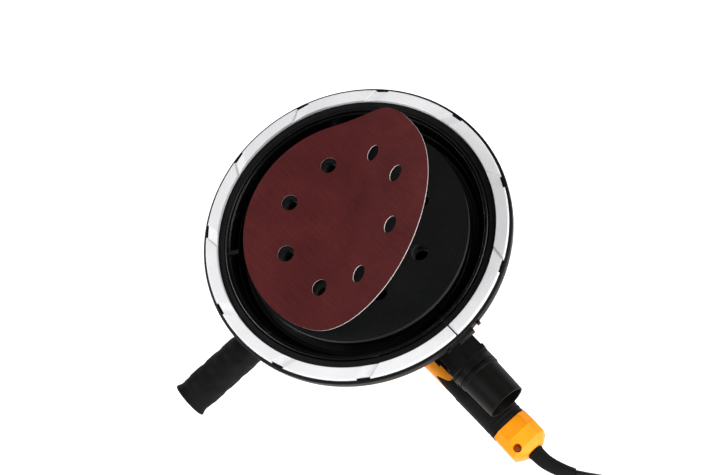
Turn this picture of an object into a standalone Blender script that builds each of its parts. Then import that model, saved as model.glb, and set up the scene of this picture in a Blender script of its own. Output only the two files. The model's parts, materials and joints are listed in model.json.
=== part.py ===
"""Hand-held orbital drywall sander, lying on its back with the sanding face up.

Metres, +Z up. The origin is the point of the resting face that lies under the spindle axis:
+Z runs along the spindle towards the sanding face, +X towards the end of the rear handle and
-Y along the side handle. Blender 4.5, run with: blender --background --python part.py
"""

import math

import bmesh
import bpy
from mathutils import Matrix

# ---------------------------------------------------------------- driving dimensions
GAP = 0.0003  # between pieces that touch

RING_TOP = 0.150  # height of the skid ring's face, which is the sanding plane
RING_OUTER = 0.122
RING_INNER = 0.1123
RING_THICK = 0.0035
SLIT_ANGLE = math.radians(0.4)
SLIT_WIDTH = 0.0012
GROOVES = 10
GROOVE_WIDTH = 0.0098
GROOVE_DEPTH = 0.0022
GROOVE_SKEW = math.radians(39)
GROOVE_PHASE = math.radians(-1.6)

SKIRT_OUTER = 0.1246
FLOOR_TOP = 0.126  # floor of the suction chamber
FLOOR_THICK = 0.003
FLOOR_RADIUS = 0.0976
SCREW_CIRCLE = 0.083
SCREWS = 6
SCREW_PHASE = math.radians(31)

PAD_RADIUS = 0.090
PAD_FACE = RING_TOP
HOLES = 8
HOLE_CIRCLE = 0.057
HOLE_RADIUS = 0.0067
HOLE_PHASE = math.radians(25)
ECCENTRIC = 0.0025  # half of the 5 mm orbit

DISC_THICK = 0.0009
PEEL_AXIS = math.radians(126.9)  # direction of the fold line
PEEL_START = -0.0331  # where the disc leaves the pad, across the fold line
PEEL_BEND = 0.066
PEEL_ANGLE = math.radians(37.5)
DISC_SLIP = (0.0035, -0.0019)  # how far the peeled disc has slid, along and across the fold line
TIP_LIFT = 0.015  # the tip of the disc is pulled up by this much
TIP_ALONG = (0.0666, 0.095)
TIP_ACROSS = (-0.010, 0.0676)

MOTOR_X = 0.032
HANDLE_Y = -0.011  # motor and rear handle share this centre plane
TOWER_RADIUS = 0.040
TOWER_TOP = 0.084
PINION_TEETH = 12
GEAR_TEETH = 48
PRESSURE = math.radians(20)

HANDLE_Z = 0.060
GRIP_WIDTH = 0.032
GRIP_HEIGHT = 0.038
GRIP_ROUND = 0.013
HANDLE_FRONT = 0.060
GRIP_START = 0.130
GRIP_END = 0.178
CAP_END = 0.204
DIAL_X = 0.117
SLIDER_X = 0.092

DUCT_Y = -0.0035
DUCT_Z = 0.102
DUCT_START = 0.0765
DUCT_END = 0.134
TUBE_END = 0.172
TUBE_RADIUS = 0.0164

SIDE_X = -0.0075
SIDE_Z = 0.096
SIDE_START = 0.075  # distances along -Y
SIDE_END = 0.1905
SIDE_RADIUS = 0.0165

CORD_RADIUS = 0.004
COIL_X = 0.322
COIL_Y = -0.004
COIL_RADIUS = 0.046
COIL_HALF_WIDTH = 0.012
COIL_HEIGHT = 0.031
PLUG_X = 0.278
PLUG_Y = -0.0668
PLUG_Z = 0.0078

FINE = 48  # sides of the large turned shapes
ROUND = 24
MEDIUM = 16
SMALL = 12

# ---------------------------------------------------------------- scene and materials
for old in list(bpy.data.objects):
    bpy.data.objects.remove(old, do_unlink=True)

PARTS = bpy.data.collections.new("orbital_sander")
CUTTERS = bpy.data.collections.new("cutters")
for collection in (PARTS, CUTTERS):
    bpy.context.scene.collection.children.link(collection)


def material(name, colour, roughness, metallic=0.0):
    made = bpy.data.materials.new(name)
    made.use_nodes = True
    shader = made.node_tree.nodes["Principled BSDF"]
    shader.inputs["Base Color"].default_value = (*colour, 1)
    shader.inputs["Roughness"].default_value = roughness
    shader.inputs["Metallic"].default_value = metallic
    return made


BLACK = material("black_plastic", (0.012, 0.012, 0.013), 0.35)
GLOSS = material("black_gloss", (0.008, 0.008, 0.009), 0.15)
SOFT = material("grip_rubber", (0.016, 0.017, 0.018), 0.7)
YELLOW = material("yellow_plastic", (0.93, 0.34, 0.012), 0.38)
SILVER = material("satin_metal", (0.74, 0.74, 0.76), 0.32, 1.0)
STEEL = material("steel", (0.42, 0.42, 0.44), 0.3, 1.0)
ALLOY = material("cast_alloy", (0.35, 0.36, 0.37), 0.5, 1.0)
LAMINATE = material("core_steel", (0.2, 0.2, 0.21), 0.45, 1.0)
COPPER = material("copper", (0.75, 0.32, 0.16), 0.3, 1.0)
CARBON = material("carbon", (0.03, 0.03, 0.03), 0.6)
FOAM = material("pad_foam", (0.02, 0.02, 0.022), 0.9)
HOOK = material("hook_face", (0.022, 0.024, 0.025), 0.85)
GRIT = material("abrasive", (0.11, 0.018, 0.02), 0.8)
BRASS = material("brass", (0.7, 0.5, 0.2), 0.3, 1.0)
BOARD = material("circuit_board", (0.02, 0.12, 0.04), 0.5)


# ---------------------------------------------------------------- modelling tools
def place(name, mesh, finish):
    obj = bpy.data.objects.new(name, mesh)
    PARTS.objects.link(obj)
    if finish:
        mesh.materials.append(finish)
    return obj


def attach(axis, *pieces):
    """Parents pieces to the empty on their joint's axis, leaving them where they are."""
    bpy.context.view_layer.update()
    for piece in pieces:
        piece.parent = axis
        piece.matrix_parent_inverse = axis.matrix_world.inverted()


def axis_empty(name, location):
    empty = bpy.data.objects.new(name, None)
    PARTS.objects.link(empty)
    empty.location = location
    return empty


def as_helper(obj):
    """A cutter, or a shape that is joined to a piece, is not a piece itself."""
    obj.hide_render = True
    obj.display_type = "WIRE"
    PARTS.objects.unlink(obj)
    CUTTERS.objects.link(obj)


def boolean(target, operation, *tools):
    for tool in tools:
        modifier = target.modifiers.new(f"{operation}_{tool.name}", "BOOLEAN")
        modifier.operation = operation
        modifier.solver = "EXACT"
        modifier.object = tool
        as_helper(tool)


def turned(name, profile, finish, steps=ROUND, centre=(0, 0), along="Z", closed=True, height=0.0):
    """A profile of (radius, height) points, turned about an axis through centre.

    Along Z the centre is (x, y). Along X it is (y, z), and along -Y it is (x, z), with the
    profile's heights running along +X or -Y.
    """
    mesh = bpy.data.meshes.new(name)
    points = [(radius, 0, level) for radius, level in profile]
    edges = [(i, i + 1) for i in range(len(points) - 1)]
    if closed:
        edges.append((len(points) - 1, 0))
    mesh.from_pydata(points, edges, [])
    obj = place(name, mesh, finish)
    if along == "Z":
        obj.location = (centre[0], centre[1], height)
    elif along == "X":
        obj.location = (height, centre[0], centre[1])
        obj.rotation_euler = (0, math.pi / 2, 0)
    else:
        obj.location = (centre[0], -height, centre[1])
        obj.rotation_euler = (math.pi / 2, 0, 0)
    screw = obj.modifiers.new("turn", "SCREW")
    screw.steps = screw.render_steps = steps
    screw.use_merge_vertices = True
    screw.merge_threshold = 0.00001
    screw.use_smooth_shade = True
    return obj


def rod(name, radius, low, high, finish, **where):
    """A solid cylinder."""
    profile = [(0, high), (radius, high), (radius, low), (0, low)]
    return turned(name, profile, finish, closed=False, **where)


def sleeve(name, inner, outer, low, high, finish, **where):
    """A hollow cylinder."""
    profile = [(outer, high), (outer, low), (inner, low), (inner, high)]
    return turned(name, profile, finish, **where)


def stepped_hole(name, wide, top, step, narrow, low, centre):
    """A cutter for a bearing pocket with a smaller hole below it."""
    profile = [(0, top), (wide, top), (wide, step), (narrow, step), (narrow, low), (0, low)]
    return turned(name, profile, None, steps=MEDIUM, centre=centre, closed=False)


def box(name, low, high, finish=None):
    mesh = bpy.data.meshes.new(name)
    shape = bmesh.new()
    bmesh.ops.create_cube(shape, size=1)
    size = [b - a for a, b in zip(low, high)]
    bmesh.ops.scale(shape, vec=size, verts=shape.verts)
    shape.to_mesh(mesh)
    shape.free()
    obj = place(name, mesh, finish)
    obj.location = [(a + b) / 2 for a, b in zip(low, high)]
    return obj


def turn_about(obj, centre, angle):
    """Turns a piece about a vertical axis through centre, measured from where it stands."""
    obj.data.transform(Matrix.Translation(obj.location))
    obj.location = (centre[0], centre[1], 0)
    obj.rotation_euler = (0, 0, angle)


def slab(name, outline, low, high, finish=None, along="Z", centre=(0, 0)):
    """A flat outline given thickness from low to high. Along X the outline is in (y, z)."""
    curve = bpy.data.curves.new(name, "CURVE")
    curve.dimensions = "2D"
    curve.fill_mode = "BOTH"
    curve.extrude = (high - low) / 2
    spline = curve.splines.new("POLY")
    spline.points.add(len(outline) - 1)
    for point, (a, b) in zip(spline.points, outline):
        point.co = (a, b, 0, 1)
    spline.use_cyclic_u = True
    middle = (low + high) / 2
    guide = place(name + "_outline", curve, None)
    if along == "Z":
        guide.location = (centre[0], centre[1], middle)
    else:
        guide.location = (middle, centre[0], centre[1])
        guide.rotation_euler = (math.pi / 2, 0, math.pi / 2)
    return meshed(name, guide, finish)


def meshed(name, guide, finish):
    """The mesh of a curve object, with its loose caps welded on."""
    bpy.context.view_layer.update()
    graph = bpy.context.evaluated_depsgraph_get()
    mesh = bpy.data.meshes.new_from_object(guide.evaluated_get(graph))
    shape = bmesh.new()
    shape.from_mesh(mesh)
    bmesh.ops.remove_doubles(shape, verts=shape.verts, dist=0.000001)
    flat = math.radians(0.1)
    bmesh.ops.dissolve_limit(shape, angle_limit=flat, verts=shape.verts, edges=shape.edges)
    bmesh.ops.recalc_face_normals(shape, faces=shape.faces)
    shape.to_mesh(mesh)
    shape.free()
    mesh.materials.clear()
    obj = place(name, mesh, finish)
    obj.matrix_world = guide.matrix_world
    bpy.data.objects.remove(guide, do_unlink=True)
    return obj


def arc(radius, start, end, count, centre=(0, 0)):
    step = (end - start) / (count - 1)
    angles = [start + step * i for i in range(count)]
    return [(centre[0] + radius * math.cos(a), centre[1] + radius * math.sin(a)) for a in angles]


def ease(value, start, end):
    """0 before start, 1 after end, and smooth between them."""
    share = min(max((value - start) / (end - start), 0), 1)
    return share * share * (3 - 2 * share)


def around(radius, angle, centre=(0, 0)):
    return centre[0] + radius * math.cos(angle), centre[1] + radius * math.sin(angle)


def rounded_rectangle(width, height, radius, count=6):
    outline = []
    corners = ((1, 1), (-1, 1), (-1, -1), (1, -1))
    for quarter, (a, b) in enumerate(corners):
        corner = (a * (width / 2 - radius), b * (height / 2 - radius))
        start = quarter * math.pi / 2
        outline += arc(radius, start, start + math.pi / 2, count, corner)
    return outline


def toothed(teeth, inner, outer, fill, phase=0.0):
    """An outline of straight-sided teeth; fill is the share of each pitch that a tooth takes."""
    outline = []
    pitch = 2 * math.pi / teeth
    for i in range(teeth):
        centre = phase + i * pitch
        half = pitch * fill / 2
        for angle, radius in ((-half, inner), (-half, outer), (0, outer), (half, outer), (half, inner)):
            outline.append(around(radius, centre + angle))
    return outline


def gear_outline(teeth, module, addendum, dedendum, backlash, phase):
    """Involute teeth, the first one centred on phase."""
    pitch_radius = module * teeth / 2
    base = pitch_radius * math.cos(PRESSURE)
    tip = pitch_radius + addendum * module
    root = pitch_radius - dedendum * module
    half = math.pi / (2 * teeth) - backlash / (4 * pitch_radius)

    def involute(angle):
        return math.tan(angle) - angle

    def flank(radius):
        return half + involute(PRESSURE) - involute(math.acos(min(1, base / radius)))

    low = max(base, root)
    radii = [low, tip] if teeth > 30 else [low, (low + tip) / 2, tip]
    radii = [radius for radius in radii if radius > root]
    outline = []
    for i in range(teeth):
        centre = phase + 2 * math.pi * i / teeth
        outline.append(around(root, centre - flank(low)))
        outline += [around(radius, centre - flank(radius)) for radius in radii]
        outline += [around(radius, centre + flank(radius)) for radius in reversed(radii)]
        outline.append(around(root, centre + flank(low)))
    return outline


def tube(name, points, radii, finish, resolution=3):
    """A round bar along points, with a radius at each of them."""
    curve = bpy.data.curves.new(name, "CURVE")
    curve.dimensions = "3D"
    curve.bevel_depth = 1.0
    curve.bevel_resolution = resolution
    curve.use_fill_caps = True
    spline = curve.splines.new("POLY")
    spline.points.add(len(points) - 1)
    for point, place_at, radius in zip(spline.points, points, radii):
        point.co = (*place_at, 1)
        point.radius = radius
    return place(name, curve, finish)


def between(p, q, r, s, t):
    """One coordinate of a Catmull-Rom curve, from q at t = 0 to r at t = 1."""
    square = 2 * p - 5 * q + 4 * r - s
    cube = 3 * q - p - 3 * r + s
    return 0.5 * (2 * q + (r - p) * t + square * t**2 + cube * t**3)


def smooth_route(points, count):
    """Evenly spaced points on a Catmull-Rom curve through the given ones."""
    ends = [
        [2 * a - b for a, b in zip(points[0], points[1])],
        [2 * a - b for a, b in zip(points[-1], points[-2])],
    ]
    knots = [ends[0], *points, ends[1]]
    dense = []
    steps = 40
    for four in zip(knots, knots[1:], knots[2:], knots[3:]):
        for i in range(steps):
            dense.append([between(*values, i / steps) for values in zip(*four)])
    dense.append(list(points[-1]))
    travelled = [0.0]
    for a, b in zip(dense, dense[1:]):
        travelled.append(travelled[-1] + math.dist(a, b))
    route = []
    at = 0
    for i in range(count):
        wanted = travelled[-1] * i / (count - 1)
        while at < len(dense) - 2 and travelled[at + 1] < wanted:
            at += 1
        share = (wanted - travelled[at]) / (travelled[at + 1] - travelled[at])
        route.append([a + (b - a) * share for a, b in zip(dense[at], dense[at + 1])])
    return route


# ---------------------------------------------------------------- head
def suction_chamber():
    """The dish that the pad spins in, the shell behind it and the screws that hold the two."""
    lip = RING_TOP - 0.003
    floor_bottom = FLOOR_TOP - FLOOR_THICK
    dish = turned(
        "inner_shroud",
        [
            (0.1054, lip + 0.0006),
            (0.1062, lip),
            (0.1062, 0.127),
            (0.1028, floor_bottom),
            (0.022, floor_bottom),
            (0.022, FLOOR_TOP),
            (FLOOR_RADIUS, FLOOR_TOP),
            (0.099, 0.1285),
            (0.1038, lip - 0.001),
            (0.1044, lip + 0.0002),
        ],
        GLOSS,
        steps=FINE,
    )
    lug = box("latch_lug", (0.096, -0.002, 0.1275), (0.1050, 0.005, 0.1455))
    boolean(dish, "UNION", lug)

    shell = turned(
        "head_shell",
        [
            (0.1218, 0.1406),
            (0.1218, 0.136),
            (0.1192, 0.1305),
            (0.1135, 0.1245),
            (0.105, 0.1197),
            (0.076, 0.1197),
            (0.076, floor_bottom - GAP),
            (0.1026, floor_bottom - GAP),
            (0.1065, 0.1268),
            (0.1065, 0.1295),
            (0.1165, 0.1295),
            (0.1196, 0.1355),
            (0.1196, 0.1406),
        ],
        BLACK,
        steps=FINE,
    )
    port_low = (0.080, DUCT_Y - 0.011, 0.115)
    port_high = (0.096, DUCT_Y + 0.011, 0.130)
    boolean(dish, "DIFFERENCE", box("floor_port", port_low, port_high))
    boolean(shell, "DIFFERENCE", box("shell_port", port_low, port_high))

    for i in range(SCREWS):
        centre = around(SCREW_CIRCLE, SCREW_PHASE + 2 * math.pi * i / SCREWS)
        floor_hole = rod(f"floor_hole_{i}", 0.0021, 0.120, 0.128, None, steps=8, centre=centre)
        shell_hole = rod(f"shell_hole_{i}", 0.0021, 0.118, 0.124, None, steps=8, centre=centre)
        boolean(dish, "DIFFERENCE", floor_hole)
        boolean(shell, "DIFFERENCE", shell_hole)
        top = FLOOR_TOP + GAP + 0.002
        turned(
            f"floor_screw_{i + 1}",
            [
                (0, top),
                (0.003, top),
                (0.0036, top - 0.0008),
                (0.0036, top - 0.002),
                (0.0017, top - 0.002),
                (0.0017, 0.1205),
                (0, 0.1205),
            ],
            STEEL,
            steps=8,
            centre=centre,
            closed=False,
        )


def floating_skirt():
    """The sprung collar with its split metal skid ring."""
    web = RING_TOP - RING_THICK - GAP
    skirt = turned(
        "skirt_ring",
        [
            (0.1236, 0.1475),
            (SKIRT_OUTER, 0.1458),
            (SKIRT_OUTER, 0.1395),
            (0.1224, 0.1395),
            (0.1224, 0.144),
            (0.1068, 0.144),
            (0.1068, 0.1469),
            (0.112, 0.1469),
            (0.112, web),
            (0.1224, web),
            (0.1224, 0.1479),
        ],
        BLACK,
        steps=FINE,
    )
    block = box("latch_block", (0.1230, -0.0012, 0.1395), (0.1272, 0.0128, 0.1471))
    nub = box("latch_nub", (0.1220, 0.0175, 0.141), (0.1256, 0.0203, 0.1460))
    boolean(skirt, "UNION", block, nub)

    under = RING_TOP - RING_THICK
    ring = sleeve("skid_ring", RING_INNER, RING_OUTER, under, RING_TOP, SILVER, steps=FINE)
    slit = box("slit", (0.105, -SLIT_WIDTH / 2, 0.14), (0.13, SLIT_WIDTH / 2, 0.16))
    turn_about(slit, (0, 0), SLIT_ANGLE)
    bevel = box("slit_bevel", (0.105, -0.0011, -0.0011), (0.13, 0.0011, 0.0011))
    bevel.data.transform(Matrix.Translation(bevel.location))
    bevel.data.transform(Matrix.Rotation(math.pi / 4, 4, "X"))
    bevel.location = (0, SLIT_WIDTH / 2, RING_TOP)
    turn_about(bevel, (0, 0), SLIT_ANGLE)
    boolean(ring, "DIFFERENCE", slit, bevel)
    pitch = 2 * math.pi / (GROOVES + 1)
    middle = (RING_OUTER + RING_INNER) / 2
    for i in range(GROOVES):
        angle = GROOVE_PHASE + pitch * (i + 1)
        groove = box(
            f"groove_{i}",
            (-0.016, -GROOVE_WIDTH / 2, RING_TOP - GROOVE_DEPTH),
            (0.016, GROOVE_WIDTH / 2, RING_TOP + 0.002),
        )
        turn_about(groove, around(middle, angle), angle - GROOVE_SKEW)
        notch = box(f"notch_{i}", (RING_OUTER - 0.0015, -0.0052, 0.14), (0.13, 0.0052, 0.16))
        turn_about(notch, (0, 0), angle - math.radians(1.6))
        boolean(ring, "DIFFERENCE", groove, notch)

    for i in range(3):
        centre = around(0.1115, math.radians(60 + 120 * i))
        spring(f"skirt_spring_{i + 1}", centre, 0.1299, 0.1437)


def spring(name, centre, low, high):
    wire = 0.0005
    turns = 4
    per_turn = 7
    points = []
    for i in range(turns * per_turn + 1):
        angle = 2 * math.pi * i / per_turn
        x, y = around(0.003, angle)
        points.append((x, y, low + wire + (high - low - 2 * wire) * i / (turns * per_turn)))
    coil = tube(name, points, [wire] * len(points), STEEL, resolution=1)
    coil.location = (centre[0], centre[1], 0)
    return coil


def pad(axis):
    """Hook-and-loop pad on its backing plate; it turns freely on the eccentric."""
    centre = (ECCENTRIC, 0)
    angles = [HOLE_PHASE + 2 * math.pi * i / HOLES for i in range(HOLES)]
    holes = [around(HOLE_CIRCLE, angle, centre) for angle in angles]
    at_pad = {"steps": FINE, "centre": centre}
    face = sleeve("hook_face", 0.012, PAD_RADIUS, PAD_FACE - 0.0012, PAD_FACE, HOOK, **at_pad)
    foam = turned(
        "foam_pad",
        [(PAD_RADIUS, 0.1485), (PAD_RADIUS, 0.1425), (0.085, 0.138), (0.015, 0.138), (0.015, 0.1485)],
        FOAM,
        **at_pad,
    )
    plate = turned(
        "backing_plate",
        [
            (0.0822, 0.1377),
            (0.0822, 0.1352),
            (0.060, 0.1335),
            (0.0172, 0.1335),
            (0.0172, 0.1285),
            (0.0133, 0.1285),
            (0.0133, 0.1377),
        ],
        ALLOY,
        steps=ROUND,
        centre=centre,
    )
    for piece, low, high in ((face, 0.147, 0.152), (foam, 0.136, 0.150), (plate, 0.130, 0.139)):
        for i, hole in enumerate(holes):
            drill = rod(f"{piece.name}_drill_{i}", HOLE_RADIUS, low, high, None, steps=10, centre=hole)
            boolean(piece, "DIFFERENCE", drill)
    bearing = sleeve("pad_bearing", 0.0052, 0.013, 0.1295, 0.1385, STEEL, steps=MEDIUM, centre=centre)
    attach(axis, face, foam, plate, bearing)


def abrasive_disc(axis):
    """The disc, its far side peeled off the hooks: flat, then bent about a fold line, then flat."""
    outline = arc(PAD_RADIUS, 0, 2 * math.pi * (FINE - 1) / FINE, FINE)
    sheet = slab("abrasive_disc", outline, 0.0, DISC_THICK, GRIT)
    holes = []
    for i in range(HOLES):
        centre = around(HOLE_CIRCLE, HOLE_PHASE - PEEL_AXIS + 2 * math.pi * i / HOLES)
        holes.append(rod(f"disc_drill_{i}", HOLE_RADIUS, -0.002, 0.004, None, steps=12, centre=centre))
    boolean(sheet, "DIFFERENCE", *holes)
    bpy.context.view_layer.update()
    graph = bpy.context.evaluated_depsgraph_get()
    mesh = bpy.data.meshes.new_from_object(sheet.evaluated_get(graph))
    bpy.data.objects.remove(sheet, do_unlink=True)
    shape = bmesh.new()
    shape.from_mesh(mesh)
    cuts = [(1, -(PEEL_START + 0.0086 * i)) for i in range(12)]
    cuts += [(0, TIP_ALONG[0] + 0.0055 * i) for i in range(4)]
    for axis_index, level in cuts:
        spot, normal = [0, 0, 0], [0, 0, 0]
        spot[axis_index], normal[axis_index] = level, 1
        bmesh.ops.bisect_plane(
            shape,
            geom=[*shape.verts, *shape.edges, *shape.faces],
            dist=0.0000001,
            plane_co=spot,
            plane_no=normal,
        )
    bmesh.ops.triangulate(shape, faces=shape.faces)
    bottom = PAD_FACE + GAP
    end = PEEL_BEND * PEEL_ANGLE
    for vertex in shape.verts:
        along = vertex.co.x
        across = -vertex.co.y - PEEL_START
        level = vertex.co.z + DISC_THICK / 2
        turn = min(max(across / PEEL_BEND, 0), PEEL_ANGLE)
        beyond = max(across - end, 0)
        flat = min(across, 0)
        radius = PEEL_BEND - level
        out = PEEL_START + flat + radius * math.sin(turn) + beyond * math.cos(turn)
        up = PEEL_BEND - radius * math.cos(turn) + beyond * math.sin(turn)
        up += TIP_LIFT * ease(along, *TIP_ALONG) * ease(across, *TIP_ACROSS)
        along += DISC_SLIP[0]
        out += DISC_SLIP[1]
        vertex.co = (
            ECCENTRIC + along * math.cos(PEEL_AXIS) + out * math.sin(PEEL_AXIS),
            along * math.sin(PEEL_AXIS) - out * math.cos(PEEL_AXIS),
            bottom + up,
        )
    shape.to_mesh(mesh)
    shape.free()
    attach(axis, place("abrasive_disc", mesh, None))


# ---------------------------------------------------------------- drive
def spindle_group(gear_phase, module):
    axis = axis_empty("spindle_axis", (0, 0, 0))
    shaft = turned(
        "spindle",
        [(0, 0.1276), (0.006, 0.1276), (0.006, 0.0885), (0, 0.0885)],
        STEEL,
        steps=MEDIUM,
        closed=False,
    )
    crank = rod("crank", 0.009, 0.124, 0.128, None, steps=MEDIUM, centre=(ECCENTRIC / 2, 0))
    journal = rod("journal", 0.0049, 0.1278, 0.1386, None, steps=MEDIUM, centre=(ECCENTRIC, 0))
    bore = rod("journal_bore", 0.0027, 0.1295, 0.14, None, steps=SMALL, centre=(ECCENTRIC, 0))
    boolean(shaft, "UNION", crank, journal)
    boolean(shaft, "DIFFERENCE", bore)
    screw = turned(
        "pad_screw",
        [
            (0, 0.1430),
            (0.0072, 0.1430),
            (0.0080, 0.1422),
            (0.0080, 0.1389),
            (0.0024, 0.1389),
            (0.0024, 0.1300),
            (0, 0.1300),
        ],
        STEEL,
        steps=SMALL,
        centre=(ECCENTRIC, 0),
        closed=False,
    )
    hexagon = arc(0.0029, 0, 2 * math.pi * 5 / 6, 6)
    socket = slab("hex_socket", hexagon, 0.1405, 0.145, centre=(ECCENTRIC, 0))
    boolean(screw, "DIFFERENCE", socket)

    teeth = gear_outline(GEAR_TEETH, module, 0.75, 1.25, 0.0003, gear_phase)
    gear = slab("spindle_gear", teeth, 0.098, 0.106, ALLOY)
    boolean(gear, "DIFFERENCE", rod("gear_bore", 0.0063, 0.09, 0.12, None, steps=MEDIUM))

    half_span = math.radians(80)
    outline = arc(0.027, math.pi - half_span, math.pi + half_span, 16)
    outline += arc(0.0105, math.pi + half_span, 3 * math.pi - half_span, 14)
    weight = slab("counterweight", outline, 0.1078, 0.1122, STEEL)
    boolean(weight, "DIFFERENCE", rod("weight_bore", 0.0063, 0.1, 0.12, None, steps=MEDIUM))

    sleeve("spindle_bearing_front", 0.0063, 0.016, 0.1132, 0.1222, STEEL, steps=MEDIUM)
    sleeve("spindle_bearing_rear", 0.0063, 0.013, 0.0895, 0.0965, STEEL, steps=MEDIUM)
    attach(axis, shaft, screw, gear, weight)


def armature_group(pinion_phase, module):
    centre = (MOTOR_X, HANDLE_Y)
    at_motor = {"steps": SMALL, "centre": centre}
    axis = axis_empty("armature_axis", (*centre, 0))
    shaft = rod("armature_shaft", 0.004, 0.0035, 0.1055, STEEL, **at_motor)
    teeth = gear_outline(PINION_TEETH, module, 0.9, 1.15, 0.0003, pinion_phase)
    boolean(shaft, "UNION", slab("pinion", teeth, 0.0975, 0.1065, centre=centre))
    slots = toothed(12, 0.0125, 0.0175, 0.72)
    core = slab("armature_core", slots, 0.034, 0.070, LAMINATE, centre=centre)
    boolean(core, "DIFFERENCE", rod("core_bore", 0.0043, 0.02, 0.08, None, **at_motor))
    commutator = sleeve("commutator", 0.0043, 0.010, 0.0155, 0.028, COPPER, **at_motor)
    fan = rod("cooling_fan", 0.033, 0.0732, 0.0752, BLACK, centre=centre)
    blades = slab("fan_blades", toothed(11, 0.0075, 0.032, 0.16), 0.0745, 0.0815, centre=centre)
    boolean(fan, "UNION", blades)
    boolean(fan, "DIFFERENCE", rod("fan_bore", 0.0043, 0.07, 0.09, None, **at_motor))
    sleeve("motor_bearing_front", 0.0043, 0.011, 0.0895, 0.0965, STEEL, **at_motor)
    sleeve("motor_bearing_rear", 0.0043, 0.0096, 0.0045, 0.0115, STEEL, **at_motor)
    attach(axis, shaft, core, commutator, fan)


def gearbox():
    """Alloy gear housing on the back of the head, and the plate between it and the motor."""

    def hull(spindle_radius, motor_radius):
        distance = math.hypot(MOTOR_X, HANDLE_Y)
        heading = math.atan2(HANDLE_Y, MOTOR_X)
        lean = math.acos((spindle_radius - motor_radius) / distance)
        outline = arc(motor_radius, heading - lean, heading + lean, 26, (MOTOR_X, HANDLE_Y))
        return outline + arc(spindle_radius, heading + lean, heading + 2 * math.pi - lean, 22)

    top = FLOOR_TOP - FLOOR_THICK - GAP
    joint = TOWER_TOP + 0.0058
    housing = slab("gear_housing", hull(0.0335, TOWER_RADIUS), joint, top, ALLOY)
    at_side = {"steps": MEDIUM, "centre": (SIDE_X, SIDE_Z), "along": "-Y"}
    bosses = [
        rod("side_boss_right", 0.0115, 0.022, SIDE_START - 0.002, None, **at_side),
        rod("side_boss_left", 0.0115, -0.044, -0.022, None, **at_side),
    ]
    boolean(housing, "UNION", *bosses)
    cavity = slab("gear_cavity", hull(0.0300, 0.0365), TOWER_TOP, 0.1128)
    bearing_seat = rod("bearing_seat", 0.0163, 0.1129, 0.130, None, steps=MEDIUM)
    shaft_hole = rod("shaft_hole", 0.0125, 0.110, 0.1135, None, steps=MEDIUM)
    stud_hole = rod("stud_hole", 0.0043, 0.040, 0.080, None, **at_side)
    below = box("below_joint", (-0.03, -0.06, joint - 0.02), (0.03, 0.06, joint))
    boolean(housing, "DIFFERENCE", cavity, bearing_seat, shaft_hole, stud_hole, below)

    cover = slab("gear_cover", hull(0.0335, TOWER_RADIUS), TOWER_TOP + GAP, TOWER_TOP + 0.0055, ALLOY)
    motor = (MOTOR_X, HANDLE_Y)
    seats = (
        rod("rear_boss", 0.0160, 0.086, 0.0962, None, steps=MEDIUM),
        rod("motor_boss", 0.0140, 0.086, 0.0962, None, steps=MEDIUM, centre=motor),
    )
    pockets = (
        stepped_hole("rear_pocket", 0.0133, 0.100, 0.0892, 0.0065, 0.0878, (0, 0)),
        stepped_hole("motor_pocket", 0.0113, 0.100, 0.0892, 0.0052, 0.080, motor),
    )
    boolean(cover, "UNION", *seats)
    boolean(cover, "DIFFERENCE", *pockets)


def motor_tower():
    centre = (MOTOR_X, HANDLE_Y)
    wall = 0.0032
    at_motor = {"steps": ROUND, "centre": centre}
    inside = TOWER_RADIUS - wall
    shell = sleeve("motor_housing", inside, TOWER_RADIUS, 0.0083, TOWER_TOP, YELLOW, **at_motor)
    end = turned(
        "motor_end_cap",
        [
            (0, 0.0032),
            (0.0099, 0.0032),
            (0.0099, 0.0118),
            (0.0125, 0.0118),
            (0.0125, 0.0032),
            (inside, 0.0032),
            (inside, 0.008),
            (TOWER_RADIUS, 0.008),
            (TOWER_RADIUS, 0.0025),
            (TOWER_RADIUS - 0.0022, 0),
            (0, 0),
        ],
        BLACK,
        closed=False,
        **at_motor,
    )
    for i in range(8):
        angle = math.pi / 8 + i * math.pi / 4
        vent = box(f"vent_{i}", (0.015, -0.0015, -0.001), (0.028, 0.0015, 0.005))
        turn_about(vent, centre, angle)
        boolean(end, "DIFFERENCE", vent)
    sleeve("stator_core", 0.0183, inside - GAP, 0.034, 0.070, LAMINATE, **at_motor)
    at_brush = {"steps": SMALL, "centre": (MOTOR_X, 0.0217), "along": "-Y", "height": -HANDLE_Y}
    for side, suffix in ((-1, "right"), (1, "left")):
        near = HANDLE_Y + side * 0.0104
        far = HANDLE_Y + side * 0.0300
        front, back = sorted((near, far))
        lowest = (MOTOR_X - 0.0032, front, 0.0185)
        highest = (MOTOR_X + 0.0032, back, 0.0248)
        box(f"carbon_brush_{suffix}", lowest, highest, CARBON)
        hole = rod(f"brush_hole_{suffix}", 0.0063, 0.030, 0.045, None, **at_brush)
        cap = turned(
            f"brush_cap_{suffix}",
            [(0, 0.0405), (0.0052, 0.0405), (0.0060, 0.0397), (0.0060, 0.0335), (0, 0.0335)],
            BLACK,
            closed=False,
            **at_brush,
        )
        if side > 0:
            hole.rotation_euler.x = -math.pi / 2
            cap.rotation_euler.x = -math.pi / 2
        boolean(shell, "DIFFERENCE", hole)


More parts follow.
